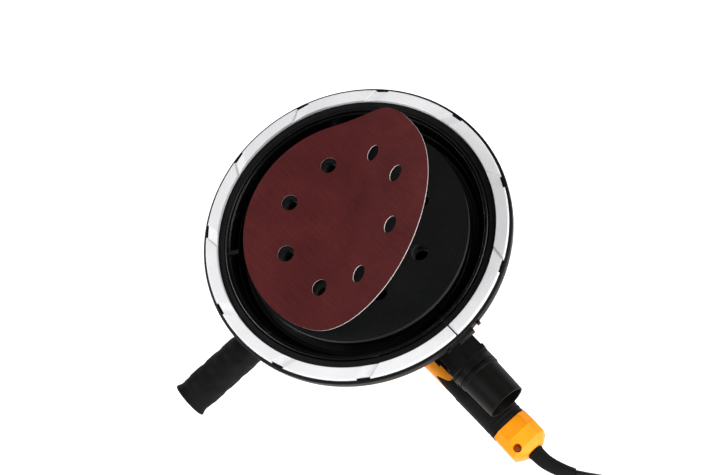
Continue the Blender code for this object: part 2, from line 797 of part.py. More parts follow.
# ---------------------------------------------------------------- rear handle
def handle():
    centre = (HANDLE_Y, HANDLE_Z)
    motor = (MOTOR_X, HANDLE_Y)
    bottom = HANDLE_Z - GRIP_HEIGHT / 2
    for suffix, side in (("left", 1), ("right", -1)):
        shell = slab(
            f"handle_shell_{suffix}",
            rounded_rectangle(GRIP_WIDTH, GRIP_HEIGHT, GRIP_ROUND),
            HANDLE_FRONT,
            GRIP_START,
            YELLOW,
            "X",
            centre,
        )
        spigot = slab(
            f"spigot_{suffix}",
            rounded_rectangle(GRIP_WIDTH - 0.0046, GRIP_HEIGHT - 0.0046, GRIP_ROUND - 0.0023),
            GRIP_START - 0.002,
            GRIP_END,
            None,
            "X",
            centre,
        )
        hollow = slab(
            f"hollow_{suffix}",
            rounded_rectangle(GRIP_WIDTH - 0.0096, GRIP_HEIGHT - 0.0096, GRIP_ROUND - 0.0048),
            HANDLE_FRONT - 0.01,
            GRIP_END + 0.01,
            None,
            "X",
            centre,
        )
        edges = sorted((HANDLE_Y + side * GAP / 2, HANDLE_Y - side * 0.05))
        other = box(f"other_half_{suffix}", (0.04, edges[0], 0.02), (0.20, edges[1], 0.10))
        tower = rod(f"tower_clear_{suffix}", TOWER_RADIUS + GAP, 0, 0.1, None, centre=motor)
        slot = box(
            f"slider_slot_{suffix}",
            (SLIDER_X - 0.0055, HANDLE_Y - 0.0038, bottom - 0.005),
            (SLIDER_X + 0.0105, HANDLE_Y + 0.0038, bottom + 0.008),
        )
        dial_slot = box(
            f"dial_slot_{suffix}",
            (DIAL_X - 0.0114, HANDLE_Y - 0.0034, bottom - 0.005),
            (DIAL_X + 0.0114, HANDLE_Y + 0.0034, bottom + 0.008),
        )
        boolean(shell, "UNION", spigot)
        boolean(shell, "DIFFERENCE", hollow, other, tower, slot, dial_slot)

    grip = slab(
        "grip_overmould",
        rounded_rectangle(GRIP_WIDTH, GRIP_HEIGHT, GRIP_ROUND),
        GRIP_START + GAP,
        GRIP_END,
        SOFT,
        "X",
        centre,
    )
    inner = slab(
        "grip_inner",
        rounded_rectangle(GRIP_WIDTH - 0.004, GRIP_HEIGHT - 0.004, GRIP_ROUND - 0.002),
        GRIP_START - 0.01,
        GRIP_END + 0.01,
        None,
        "X",
        centre,
    )
    boolean(grip, "DIFFERENCE", inner)

    box(
        "switch_slider",
        (SLIDER_X - 0.0045, HANDLE_Y - 0.0034, bottom - 0.0035),
        (SLIDER_X + 0.0045, HANDLE_Y + 0.0034, bottom + 0.0055),
        BLACK,
    )
    switch = ((0.084, HANDLE_Y - 0.0072, bottom + 0.0072), (0.104, HANDLE_Y + 0.0072, 0.067))
    box("switch_body", *switch, BLACK)
    board = ((0.134, HANDLE_Y - 0.009, 0.0620), (0.170, HANDLE_Y + 0.009, 0.0636))
    box("speed_control_board", *board, BOARD)
    dial = turned(
        "speed_dial",
        [
            (0, 0.006),
            (0.0016, 0.006),
            (0.0016, 0.003),
            (0.0105, 0.003),
            (0.011, 0.0025),
            (0.011, -0.0025),
            (0.0105, -0.003),
            (0.0016, -0.003),
            (0.0016, -0.006),
            (0, -0.006),
        ],
        BLACK,
        steps=MEDIUM,
        along="-Y",
        closed=False,
    )
    dial.location = (DIAL_X, HANDLE_Y, bottom + 0.0095)


def loft(name, sections, finish):
    """A closed skin through sections with the same number of points, for a shape with unlike ends."""
    shape = bmesh.new()
    rings = [[shape.verts.new(point) for point in section] for section in sections]
    for a, b in zip(rings, rings[1:]):
        for i in range(len(a)):
            j = (i + 1) % len(a)
            shape.faces.new((a[i], a[j], b[j], b[i]))
    shape.faces.new(rings[0])
    shape.faces.new(rings[-1])
    bmesh.ops.recalc_face_normals(shape, faces=shape.faces)
    mesh = bpy.data.meshes.new(name)
    shape.to_mesh(mesh)
    shape.free()
    return place(name, mesh, finish)


def end_cap():
    """Faceted cap that closes the grip, with its screw and the cord's tapered sleeve."""

    def section(x, right, left, height, corner):
        outline = []
        middle, half = (left + right) / 2, (left - right) / 2
        for a, b in ((1, 1), (-1, 1), (-1, -1), (1, -1)):
            beside = (a * half, b * (height / 2 - corner))
            above = (a * (half - corner), b * height / 2)
            outline += [beside, above] if a == b else [above, beside]
        return [(x, middle + across, HANDLE_Z + up) for across, up in outline]

    cap = loft(
        "end_cap",
        [
            section(GRIP_END + GAP, -0.0272, 0.0042, 0.0384, 0.0055),
            section(0.1893, -0.0272, 0.0046, 0.0388, 0.0060),
            section(0.1990, -0.0272, 0.0046, 0.0300, 0.0050),
            section(CAP_END, -0.0200, -0.0022, 0.0196, 0.0035),
        ],
        YELLOW,
    )
    at_cord = {"steps": SMALL, "along": "X", "centre": (HANDLE_Y, HANDLE_Z)}
    screw_at = (0.1965, HANDLE_Y - 0.0087)
    boolean(
        cap,
        "DIFFERENCE",
        rod("cord_hole", 0.0045, GRIP_END - 0.005, 0.2, None, **at_cord),
        rod("cap_screw_head", 0.0034, 0.070, 0.090, None, steps=SMALL, centre=screw_at),
        rod("cap_screw_shank", 0.0018, 0.058, 0.075, None, steps=SMALL, centre=screw_at),
    )
    turned(
        "end_cap_screw",
        [
            (0, 0.0722),
            (0.0025, 0.0722),
            (0.0030, 0.0717),
            (0.0030, 0.0704),
            (0.0014, 0.0704),
            (0.0014, 0.0585),
            (0, 0.0585),
        ],
        STEEL,
        steps=SMALL,
        centre=screw_at,
        closed=False,
    )


# ---------------------------------------------------------------- dust outlet
def dust_outlet():
    top = 0.1197 - GAP

    def block(name, start, end, right, left, low, high, finish=None):
        return box(name, (start, DUCT_Y - right, low), (end, DUCT_Y + left, high), finish)

    flange_start = DUCT_END - 0.004
    at_duct = {"along": "X", "centre": (DUCT_Y, DUCT_Z)}
    outer = block("dust_duct", DUCT_START, flange_start + 0.001, 0.0135, 0.0135, 0.086, top, BLACK)
    flange = block("duct_flange", flange_start, DUCT_END, 0.0175, 0.0165, 0.0845, top)
    neck = rod("duct_neck", 0.0172, DUCT_END - 0.002, DUCT_END + 0.006, None, **at_duct)
    boolean(outer, "UNION", flange, neck)
    hollow = block("duct_hollow", DUCT_START + 0.002, flange_start, 0.0113, 0.0113, 0.0882, 0.1172)
    port = block("duct_port", 0.080, 0.096, 0.011, 0.011, 0.110, 0.125)
    bore = rod("duct_bore", 0.0140, DUCT_END - 0.005, DUCT_END + 0.01, None, **at_duct)
    boolean(outer, "DIFFERENCE", hollow, port, bore)

    start = DUCT_END + 0.006 + GAP
    turned(
        "dust_outlet_tube",
        [
            (0.0142, TUBE_END),
            (0.0151, TUBE_END),
            (0.0153, TUBE_END - 0.0006),
            (TUBE_RADIUS, start + 0.004),
            (0.0172, start + 0.003),
            (0.0172, start),
            (0.0136, start),
            (0.0136, DUCT_END - 0.001),
            (0.0120, DUCT_END - 0.001),
            (0.0140, TUBE_END - 0.0006),
        ],
        BLACK,
        **at_duct,
    )


# ---------------------------------------------------------------- side handle
def side_handle():
    at_side = {"steps": MEDIUM, "centre": (SIDE_X, SIDE_Z), "along": "-Y"}
    length = SIDE_END - SIDE_START
    profile = [(0.0115, SIDE_END), (SIDE_RADIUS, SIDE_END - 0.0035)]
    grooves = 4
    for i in range(3 * grooves + 1):
        share = i / (3 * grooves)
        radius = 0.0138 - 0.0012 * math.cos(2 * math.pi * grooves * share)
        profile.append((radius, SIDE_END - 0.014 - share * (length - 0.028)))
    profile += [(SIDE_RADIUS + 0.001, SIDE_START + 0.003), (0.012, SIDE_START)]
    grip = turned(
        "side_grip",
        [(0, SIDE_END), *profile, (0, SIDE_START)],
        SOFT,
        closed=False,
        **at_side,
    )
    socket = rod("grip_socket", 0.0043, SIDE_START - 0.005, SIDE_START + 0.030, None, **at_side)
    boolean(grip, "DIFFERENCE", socket)
    rod("side_stud", 0.0039, 0.045, SIDE_START + 0.029, STEEL, **at_side)


# ---------------------------------------------------------------- power cord
def power_cord():
    sleeve_points = [
        (CAP_END + GAP, HANDLE_Y, HANDLE_Z),
        (0.214, -0.0105, 0.0600),
        (0.222, -0.0083, 0.0594),
        (0.2295, -0.0050, 0.0582),
        (0.2365, -0.0010, 0.0565),
    ]
    route = smooth_route(sleeve_points, 10)
    tube("strain_relief", route, [0.0068 - 0.0018 * i / 9 for i in range(10)], SOFT)

    cord_points = [
        (0.2371, -0.0006, 0.0563),
        (0.2435, 0.0045, 0.0535),
        (0.2505, 0.0112, 0.0470),
        (0.2560, 0.0172, 0.0370),
        (0.2605, 0.0225, 0.0250),
        (0.2655, 0.0280, 0.0140),
        (0.2728, 0.0355, 0.0070),
        (0.2818, 0.0441, 0.0042),
    ]
    route = smooth_route(cord_points, 16)
    tube("power_cord", route, [CORD_RADIUS] * len(route), SOFT)

    inner, outer = COIL_RADIUS - COIL_HALF_WIDTH, COIL_RADIUS + COIL_HALF_WIDTH
    turned(
        "cord_coil",
        [
            (outer - 0.004, COIL_HEIGHT),
            (outer, COIL_HEIGHT - 0.004),
            (outer, 0.004),
            (outer - 0.004, 0.0002),
            (inner + 0.004, 0.0002),
            (inner, 0.004),
            (inner, COIL_HEIGHT - 0.004),
            (inner + 0.004, COIL_HEIGHT),
        ],
        SOFT,
        centre=(COIL_X, COIL_Y),
    )

    tail = [
        (0.3120, -0.0664, 0.0042),
        (0.3000, -0.0668, 0.0046),
        (0.2900, -0.0668, 0.0066),
        (0.2840, PLUG_Y, PLUG_Z),
        (PLUG_X + GAP, PLUG_Y, PLUG_Z),
    ]
    route = smooth_route(tail, 6)
    tube("cord_tail", route, [CORD_RADIUS] * len(route), SOFT)
    plug()


def plug():
    body = turned(
        "plug_body",
        [
            (0, 0.040),
            (0.0105, 0.040),
            (0.0125, 0.037),
            (0.0125, 0.020),
            (0.0100, 0.014),
            (0.0062, 0.0095),
            (0.0050, 0.0),
            (0, 0.0),
        ],
        BLACK,
        steps=SMALL,
        closed=False,
    )
    body.scale = (0.6, 1, 1)
    body.rotation_euler = (0, -math.pi / 2, 0)
    body.location = (PLUG_X, PLUG_Y, PLUG_Z)
    for suffix, side in (("left", 1), ("right", -1)):
        pin = rod(f"plug_pin_{suffix}", 0.0020, 0.0403, 0.0590, BRASS, steps=16)
        pin.rotation_euler = (0, -math.pi / 2, 0)
        pin.location = (PLUG_X, PLUG_Y + side * 0.0070, PLUG_Z)


def main():
    pad_axis = axis_empty("pad_axis", (ECCENTRIC, 0, 0))
    suction_chamber()
    floating_skirt()
    pad(pad_axis)
    abrasive_disc(pad_axis)

    distance = math.hypot(MOTOR_X, HANDLE_Y)
    heading = math.atan2(HANDLE_Y, MOTOR_X)
    module = 2 * distance / (GEAR_TEETH + PINION_TEETH)
    spindle_group(heading, module)
    armature_group(heading + math.pi + math.pi / PINION_TEETH, module)
    gearbox()
    motor_tower()

    handle()
    end_cap()
    dust_outlet()
    side_handle()
    power_cord()


main()
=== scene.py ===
"""Looks of the orbital sander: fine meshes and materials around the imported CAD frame.

Metres, in the CAD's own frame: +Z along the spindle towards the sanding face, +X towards the end
of the rear handle, -Y along the side handle.
"""

import json
import math

import bmesh
import bpy
from mathutils import Matrix, Vector, noise

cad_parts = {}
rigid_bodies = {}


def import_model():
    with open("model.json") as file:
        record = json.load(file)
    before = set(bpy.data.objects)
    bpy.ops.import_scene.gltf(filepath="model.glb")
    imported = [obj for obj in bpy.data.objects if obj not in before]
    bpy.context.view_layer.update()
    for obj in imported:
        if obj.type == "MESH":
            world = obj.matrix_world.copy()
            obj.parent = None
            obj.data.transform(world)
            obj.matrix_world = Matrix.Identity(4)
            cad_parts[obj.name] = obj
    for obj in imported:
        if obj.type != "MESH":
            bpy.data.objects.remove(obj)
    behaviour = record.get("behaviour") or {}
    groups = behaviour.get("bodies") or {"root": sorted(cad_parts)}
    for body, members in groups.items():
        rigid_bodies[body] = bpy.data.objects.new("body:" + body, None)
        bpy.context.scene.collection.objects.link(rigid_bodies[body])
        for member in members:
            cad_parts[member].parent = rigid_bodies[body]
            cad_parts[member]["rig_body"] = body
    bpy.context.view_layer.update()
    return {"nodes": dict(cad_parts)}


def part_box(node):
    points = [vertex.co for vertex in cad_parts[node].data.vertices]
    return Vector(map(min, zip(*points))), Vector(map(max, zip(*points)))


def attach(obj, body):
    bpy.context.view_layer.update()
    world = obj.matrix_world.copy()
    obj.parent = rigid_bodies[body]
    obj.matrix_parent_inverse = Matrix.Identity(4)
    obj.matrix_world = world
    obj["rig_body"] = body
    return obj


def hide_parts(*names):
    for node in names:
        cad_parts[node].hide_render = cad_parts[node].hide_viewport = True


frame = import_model()

TURN = 2 * math.pi
MM = 0.001


# ---------------------------------------------------------------- places read from the frame
def middle(node):
    low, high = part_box(node)
    return (low + high) / 2


RING_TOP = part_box("skid_ring")[1].z
RING_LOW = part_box("skid_ring")[0].z
RING_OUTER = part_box("skid_ring")[1].y
SKIRT_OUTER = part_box("skirt_ring")[1].y
SHROUD_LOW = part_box("inner_shroud")[0].z
PAD_CENTRE = middle("hook_face")
PAD_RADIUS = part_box("hook_face")[1].y
MOTOR = middle("motor_housing")
TOWER_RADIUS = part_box("motor_housing")[1].y - MOTOR.y
TOWER_LOW, TOWER_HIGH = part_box("motor_housing")[0].z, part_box("motor_housing")[1].z
HANDLE = middle("grip_overmould")
GRIP_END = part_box("grip_overmould")[1].x
CAP_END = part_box("end_cap")[1].x
TUBE = middle("dust_outlet_tube")
TUBE_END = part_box("dust_outlet_tube")[1].x
SIDE = middle("side_grip")
SIDE_NEAR, SIDE_FAR = -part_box("side_grip")[1].y, -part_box("side_grip")[0].y

FLOOR_SCREWS = [f"floor_screw_{i + 1}" for i in range(6)]
PORT_START, PORT_END, PORT_HALF = 80.2 * MM, 95.8 * MM, 10.8 * MM
RIM_STEPS = 240
SLIT_ANGLE = math.radians(0.4)
GROOVES = 10
GROOVE_PHASE = math.radians(-1.6)
GROOVE_SKEW = math.radians(39)
HOLES = 8
HOLE_CIRCLE = 57 * MM
HOLE_RADIUS = 6.7 * MM
HOLE_PHASE = math.radians(25)
PEEL_AXIS = math.radians(126.9)
PEEL_START = -33.1 * MM
PEEL_BEND = 66 * MM
PEEL_ANGLE = math.radians(37.5)
DISC_THICK = 0.6 * MM
DISC_SLIP = (3.5 * MM, -1.9 * MM)
TIP_LIFT = 15 * MM
TIP_ALONG = (66.6 * MM, 95 * MM)
TIP_ACROSS = (-10 * MM, 67.6 * MM)


def add(name, data):
    """A new object in the scene."""
    obj = bpy.data.objects.new(name, data)
    bpy.context.scene.collection.objects.link(obj)
    return obj


# ---------------------------------------------------------------- camera, stage and light
def camera():
    """The camera stands above the end of the rear handle and looks down into the dish."""
    across = Vector((0.62122, 0.74336, -0.24803))
    up = Vector((-0.64943, 0.66548, 0.36794))
    back = across.cross(up)
    data = bpy.data.cameras.new("camera")
    data.lens = 51.06
    data.sensor_width = 36
    data.clip_start = 0.01
    obj = add("camera", data)
    turn = Matrix((across, up, back)).transposed().to_4x4()
    obj.matrix_world = Matrix.Translation((0.34815, -0.05766, 0.84641)) @ turn
    bpy.context.scene.camera = obj


def softbox(name, location, target, size, power):
    data = bpy.data.lights.new(name, "AREA")
    data.shape = "RECTANGLE"
    data.size, data.size_y = size
    data.energy = power
    obj = add(name, data)
    obj.location = location
    obj.rotation_euler = (Vector(target) - Vector(location)).to_track_quat("-Z", "Y").to_euler()


def studio():
    scene = bpy.context.scene
    scene.view_settings.view_transform = "Standard"
    world = bpy.data.worlds.new("studio")
    world.use_nodes = True
    sky = world.node_tree.nodes["Background"].inputs
    sky["Color"].default_value = (0.93, 0.95, 1.0, 1)
    sky["Strength"].default_value = 0.14
    scene.world = world
    head = (0.02, 0, 0.12)
    softbox("key", (-2.20, -2.40, 3.00), head, (2.8, 2.0), 150)
    softbox("far_fill", (0.62, 0.95, 1.15), head, (0.9, 0.7), 14)
    softbox("end_light", (1.25, 0.10, 0.34), (0.18, 0, 0.06), (0.8, 0.5), 13)
    softbox("near_fill", (1.00, -1.00, 0.42), (0.10, -0.02, 0.08), (0.7, 0.5), 6)
    mesh = bpy.data.meshes.new("floor")
    reach = 6
    corners = [(-reach, -reach, 0), (reach, -reach, 0), (reach, reach, 0), (-reach, reach, 0)]
    mesh.from_pydata(corners, [], [(0, 1, 2, 3)])
    floor = add("floor", mesh)
    floor.location.z = -0.0002
    mesh.materials.append(paper())


# ---------------------------------------------------------------- material tools
def new_material(name, roughness=0.5, metallic=0.0, **fixed):
    made = bpy.data.materials.new(name)
    made.use_nodes = True
    tree = made.node_tree
    shader = tree.nodes["Principled BSDF"]
    shader.inputs["Roughness"].default_value = roughness
    shader.inputs["Metallic"].default_value = metallic
    for socket, value in fixed.items():
        shader.inputs[socket.replace("_", " ")].default_value = value
    return made, tree, shader


def node(tree, kind, inputs=None, **settings):
    made = tree.nodes.new(kind)
    for key, value in settings.items():
        setattr(made, key, value)
    for key, value in (inputs or {}).items():
        if isinstance(value, bpy.types.NodeSocket):
            tree.links.new(value, made.inputs[key])
        else:
            made.inputs[key].default_value = value
    return made


def here(tree, stretch=(1, 1, 1)):
    """Coordinates on the piece, in metres, stretched along each axis."""
    place = node(tree, "ShaderNodeTexCoord").outputs["Object"]
    return node(tree, "ShaderNodeMapping", {"Vector": place, "Scale": stretch}).outputs["Vector"]


def polar(tree, centre=(0, 0, 0)):
    """Angle in radians and radius in metres round a vertical axis."""
    place = node(tree, "ShaderNodeTexCoord").outputs["Object"]
    moved = node(tree, "ShaderNodeVectorMath", {0: place, 1: centre}, operation="SUBTRACT")
    split = node(tree, "ShaderNodeSeparateXYZ", {0: moved.outputs["Vector"]})
    x, y = split.outputs["X"], split.outputs["Y"]
    angle = node(tree, "ShaderNodeMath", {0: y, 1: x}, operation="ARCTAN2").outputs[0]
    squares = [node(tree, "ShaderNodeMath", {0: each, 1: each}, operation="MULTIPLY") for each in (x, y)]
    total = node(tree, "ShaderNodeMath", {0: squares[0].outputs[0], 1: squares[1].outputs[0]})
    radius = node(tree, "ShaderNodeMath", {0: total.outputs[0]}, operation="SQRT").outputs[0]
    return angle, radius, split.outputs["Z"]


def cloud(tree, vector, scale, detail=3.0, rough=0.55):
    inputs = {"Vector": vector, "Scale": scale, "Detail": detail, "Roughness": rough}
    return node(tree, "ShaderNodeTexNoise", inputs).outputs["Fac"]


def cells(tree, vector, scale, feature="F1"):
    inputs = {"Vector": vector, "Scale": scale}
    return node(tree, "ShaderNodeTexVoronoi", inputs, feature=feature).outputs["Distance"]


def remap(tree, value, low, high, start=0.3, end=0.7):
    inputs = {0: value, 1: start, 2: end, 3: low, 4: high}
    return node(tree, "ShaderNodeMapRange", inputs).outputs[0]


def times(tree, a, b, operation="MULTIPLY"):
    return node(tree, "ShaderNodeMath", {0: a, 1: b}, operation=operation).outputs[0]


def shades(tree, factor, *stops):
    """A colour ramp; each stop is (place, colour)."""
    ramp = node(tree, "ShaderNodeValToRGB", {"Fac": factor})
    elements = ramp.color_ramp.elements
    while len(elements) < len(stops):
        elements.new(0.5)
    for element, (place, colour) in zip(elements, stops):
        element.position = place
        element.color = (*colour, 1)
    return ramp.outputs["Color"]


def paint(tree, shader, socket, value):
    tree.links.new(value, shader.inputs[socket])


def relief(tree, shader, height, strength, distance):
    inputs = {"Height": height, "Strength": strength, "Distance": distance}
    bump = node(tree, "ShaderNodeBump", inputs)
    paint(tree, shader, "Normal", bump.outputs["Normal"])


def worn_edges(tree, colour, edge_colour, amount=0.5):
    """Edges that are rubbed a little lighter than the face beside them."""
    point = node(tree, "ShaderNodeNewGeometry").outputs["Pointiness"]
    edge = remap(tree, point, 0.0, amount, 0.53, 0.62)
    inputs = {0: edge, 6: colour, 7: (*edge_colour, 1)}
    return node(tree, "ShaderNodeMix", inputs, data_type="RGBA").outputs[2]


# ---------------------------------------------------------------- materials
def paper():
    glow = {"Emission_Color": (1, 1, 1, 1), "Emission_Strength": 0.45}
    made, tree, shader = new_material("floor_paper", 0.8, Specular_IOR_Level=0.1, **glow)
    blotch = cloud(tree, here(tree), 6)
    stops = ((0.3, (0.93, 0.93, 0.93)), (0.7, (0.97, 0.97, 0.97)))
    paint(tree, shader, "Base Color", shades(tree, blotch, *stops))
    return made


def moulded(name, dark, light, rough, grain=1500, depth=0.12, edge=None, **fixed):
    """Moulded plastic: a fine spark-eroded grain, faint tone changes and softly rubbed edges."""
    made, tree, shader = new_material(name, **fixed)
    place = here(tree)
    tone = cloud(tree, place, 45, 4)
    colour = shades(tree, tone, (0.3, dark), (0.7, light))
    if edge:
        colour = worn_edges(tree, colour, edge)
    paint(tree, shader, "Base Color", colour)
    smear = cloud(tree, here(tree, (1, 1, 2.5)), 22, 5)
    paint(tree, shader, "Roughness", remap(tree, smear, *rough))
    relief(tree, shader, cells(tree, place, grain), depth, 0.0001)
    return made


def skid_metal():
    """Stamped bright metal, finely scuffed along the ring's run by use."""
    made, tree, shader = new_material("skid_metal", metallic=0.15)
    angle, radius, height = polar(tree)
    along, across = times(tree, angle, 6.0), times(tree, radius, 5200.0)
    run = node(tree, "ShaderNodeCombineXYZ", {0: along, 1: across, 2: height})
    lines = cloud(tree, run.outputs[0], 1.0, 5, 0.7)
    flecks = cloud(tree, here(tree), 900, 3, 0.6)
    blotch = cloud(tree, here(tree), 30, 4)
    tone = times(tree, times(tree, flecks, 0.6), times(tree, blotch, 0.5), "ADD")
    stops = ((0.35, (0.70, 0.70, 0.71)), (0.75, (0.84, 0.84, 0.85)))
    paint(tree, shader, "Base Color", shades(tree, tone, *stops))
    paint(tree, shader, "Roughness", remap(tree, lines, 0.50, 0.66))
    both = times(tree, lines, times(tree, flecks, 0.7), "ADD")
    relief(tree, shader, both, 0.16, 0.0002)
    return made


def bare_metal(name, dark, light, rough, scale=220, depth=0.1):
    """Ground, plated or cast metal, by its tones, roughness and the depth of its surface."""
    made, tree, shader = new_material(name, metallic=1.0)
    place = here(tree)
    speck = cloud(tree, place, scale, 6, 0.65)
    colour = shades(tree, speck, (0.3, dark), (0.7, light))
    paint(tree, shader, "Base Color", worn_edges(tree, colour, light))
    paint(tree, shader, "Roughness", remap(tree, cloud(tree, place, 60, 4), *rough))
    relief(tree, shader, cloud(tree, place, scale * 5, 3), depth, 0.0002)
    return made


def laminated():
    """Core steel, stacked from thin sheets along the axis."""
    made, tree, shader = new_material("core_steel", metallic=1.0)
    stack = cloud(tree, here(tree, (0.01, 0.01, 1)), 2200, 0)
    stops = ((0.35, (0.10, 0.10, 0.11)), (0.65, (0.27, 0.27, 0.29)))
    paint(tree, shader, "Base Color", shades(tree, stack, *stops))
    paint(tree, shader, "Roughness", remap(tree, stack, 0.35, 0.6))
    relief(tree, shader, stack, 0.3, 0.0002)
    return made


def commutator_copper():
    made, tree, shader = new_material("commutator_copper", metallic=1.0)
    angle, _, _ = polar(tree, MOTOR)
    bars = times(tree, times(tree, angle, 24 / TURN), 1.0, "FRACT")
    gap = remap(tree, bars, 0.0, 1.0, 0.0, 0.12)
    colour = shades(tree, gap, (0.2, (0.04, 0.02, 0.01)), (0.8, (0.80, 0.36, 0.20)))
    paint(tree, shader, "Base Color", colour)
    paint(tree, shader, "Roughness", remap(tree, cloud(tree, here(tree), 300), 0.2, 0.42))
    relief(tree, shader, gap, 0.4, 0.0003)
    return made


def grit():
    """Maroon abrasive on a cloth-ribbed backing, with grains about a fifth of a millimetre across."""
    made, tree, shader = new_material("abrasive_grit", Specular_IOR_Level=0.06)
    place = here(tree)
    grain = cells(tree, place, 3800)
    fine = cloud(tree, place, 2400, 4, 0.7)
    ribs = cloud(tree, here(tree, (0.05, 1, 0.05)), 900, 2)
    worn = cloud(tree, place, 16, 4)
    tone = times(tree, times(tree, fine, 0.62), times(tree, ribs, 0.16), "ADD")
    tone = times(tree, tone, times(tree, worn, 0.30), "ADD")
    ramp = ((0.38, (0.034, 0.0075, 0.0080)), (0.54, (0.082, 0.0138, 0.0142)), (0.74, (0.155, 0.029, 0.029)))
    paint(tree, shader, "Base Color", shades(tree, tone, *ramp))
    paint(tree, shader, "Roughness", remap(tree, fine, 0.62, 0.9))
    height = times(tree, times(tree, grain, 0.8), times(tree, ribs, 0.5), "ADD")
    relief(tree, shader, height, 0.35, 0.0003)
    return made


def fibre(name, dark, light, scale, rough=(0.75, 0.95), sheen=0.15, shine=0.3):
    """Loops, hooks or torn paper: a close fibrous surface."""
    made, tree, shader = new_material(name, Sheen_Weight=sheen, Specular_IOR_Level=shine)
    place = here(tree)
    tufts = cells(tree, place, scale)
    fluff = cloud(tree, place, scale * 0.7, 5, 0.7)
    tone = times(tree, times(tree, tufts, 0.5), times(tree, fluff, 0.7), "ADD")
    paint(tree, shader, "Base Color", shades(tree, tone, (0.3, dark), (0.8, light)))
    paint(tree, shader, "Roughness", remap(tree, fluff, *rough))
    relief(tree, shader, tone, 0.6, 0.0004)
    return made


def board_green():
    made, tree, shader = new_material("board_green", 0.4)
    tracks = cells(tree, here(tree, (1, 2, 1)), 260, "DISTANCE_TO_EDGE")
    stops = ((0.04, (0.35, 0.24, 0.08)), (0.09, (0.012, 0.09, 0.03)), (0.6, (0.02, 0.13, 0.05)))
    paint(tree, shader, "Base Color", shades(tree, tracks, *stops))
    relief(tree, shader, tracks, 0.2, 0.0002)
    return made


# Each look pairs a slot name with its material; the disc's look has no material, and the disc's mesh takes
# three materials of its own.
BLACK = "black_plastic", moulded(
    "black_plastic", (0.0026, 0.0026, 0.0025), (0.0056, 0.0056, 0.0054), (0.44, 0.58),
    edge=(0.014, 0.014, 0.014), Specular_IOR_Level=0.12,
)
DULL = "black_plastic", moulded(
    "tube_plastic", (0.0022, 0.0020, 0.0018), (0.0044, 0.0042, 0.0038), (0.42, 0.56), 1100, 0.16,
    (0.024, 0.024, 0.021), Specular_IOR_Level=0.09,
)
GLOSS = "black_gloss", moulded(
    "black_gloss", (0.0018, 0.0018, 0.0018), (0.0038, 0.0038, 0.0036), (0.18, 0.32), 2400, 0.03,
    Specular_IOR_Level=0.34,
)
SOFT = "grip_rubber", moulded(
    "grip_rubber", (0.0050, 0.0052, 0.0050), (0.0090, 0.0092, 0.0090), (0.58, 0.76), 1900, 0.25,
    Specular_IOR_Level=0.06,
)
SHEATH = "cord_rubber", moulded(
    "cord_sheath", (0.0036, 0.0036, 0.0034), (0.0072, 0.0072, 0.0068), (0.38, 0.52), 2600, 0.10,
    Specular_IOR_Level=0.12,
)
YELLOW = "yellow_plastic", moulded(
    "yellow_plastic", (0.86, 0.265, 0.0035), (0.93, 0.315, 0.0060), (0.38, 0.50), 1700, 0.10,
    Specular_IOR_Level=0.18,
)
SILVER = "satin_metal", skid_metal()
STEEL = "steel", bare_metal("bright_steel", (0.36, 0.36, 0.38), (0.56, 0.56, 0.58), (0.22, 0.38))
GEAR = "gear_steel", bare_metal("gear_steel", (0.25, 0.26, 0.27), (0.42, 0.43, 0.44), (0.3, 0.45))
CAST = "cast_alloy", bare_metal("cast_alloy", (0.30, 0.31, 0.32), (0.46, 0.47, 0.48), (0.42, 0.6), 500, 0.35)
BRASS = "brass", bare_metal("pin_brass", (0.62, 0.44, 0.16), (0.82, 0.60, 0.26), (0.18, 0.32))
CORE = "core_steel", laminated()
COPPER = "copper", commutator_copper()
CARBON = "carbon", fibre("brush_carbon", (0.012, 0.012, 0.012), (0.04, 0.04, 0.04), 2500, (0.5, 0.7))
FOAM = "pad_foam", fibre("pad_foam", (0.002, 0.002, 0.0022), (0.007, 0.007, 0.0075), 1200, shine=0.1)
HOOKS = "hook_face", fibre(
    "hook_face", (0.0032, 0.0035, 0.0035), (0.0095, 0.0102, 0.0100), 1900, sheen=0.0, shine=0.05
)
GRIT = grit()
LOOPS = fibre("disc_loops", (0.42, 0.40, 0.37), (0.66, 0.64, 0.60), 1500)
PAPER_EDGE = fibre("disc_edge", (0.24, 0.19, 0.18), (0.52, 0.47, 0.45), 1500)
BOARD = "circuit_board", board_green()


# ---------------------------------------------------------------- mesh tools
def piece(node, mesh, look, sharp=34, bevel=0.0, segments=2, also=()):
    """Puts a mesh in the scene on a CAD node's body, in place of that node and of any in also."""
    obj = add(f"{node}_finished", mesh)
    slot, finish = look
    if finish:
        mesh.materials.clear()
        mesh.materials.append(finish)
    mesh.shade_smooth()
    mesh.set_sharp_from_angle(angle=math.radians(sharp))
    if bevel:
        modifier = obj.modifiers.new("edges", "BEVEL")
        modifier.width = bevel
        modifier.segments = segments
        modifier.limit_method = "ANGLE"
        modifier.angle_limit = math.radians(sharp)
        modifier.use_clamp_overlap = True
    obj.modifiers.new("normals", "WEIGHTED_NORMAL").keep_sharp = True
    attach(obj, frame["nodes"][node]["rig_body"])
    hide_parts(node, *also)
    return obj


def mesh_of(shape):
    bmesh.ops.recalc_face_normals(shape, faces=shape.faces)
    if shape.calc_volume(signed=True) < 0:
        bmesh.ops.reverse_faces(shape, faces=shape.faces)
    mesh = bpy.data.meshes.new("shape")
    shape.to_mesh(mesh)
    shape.free()
    return mesh


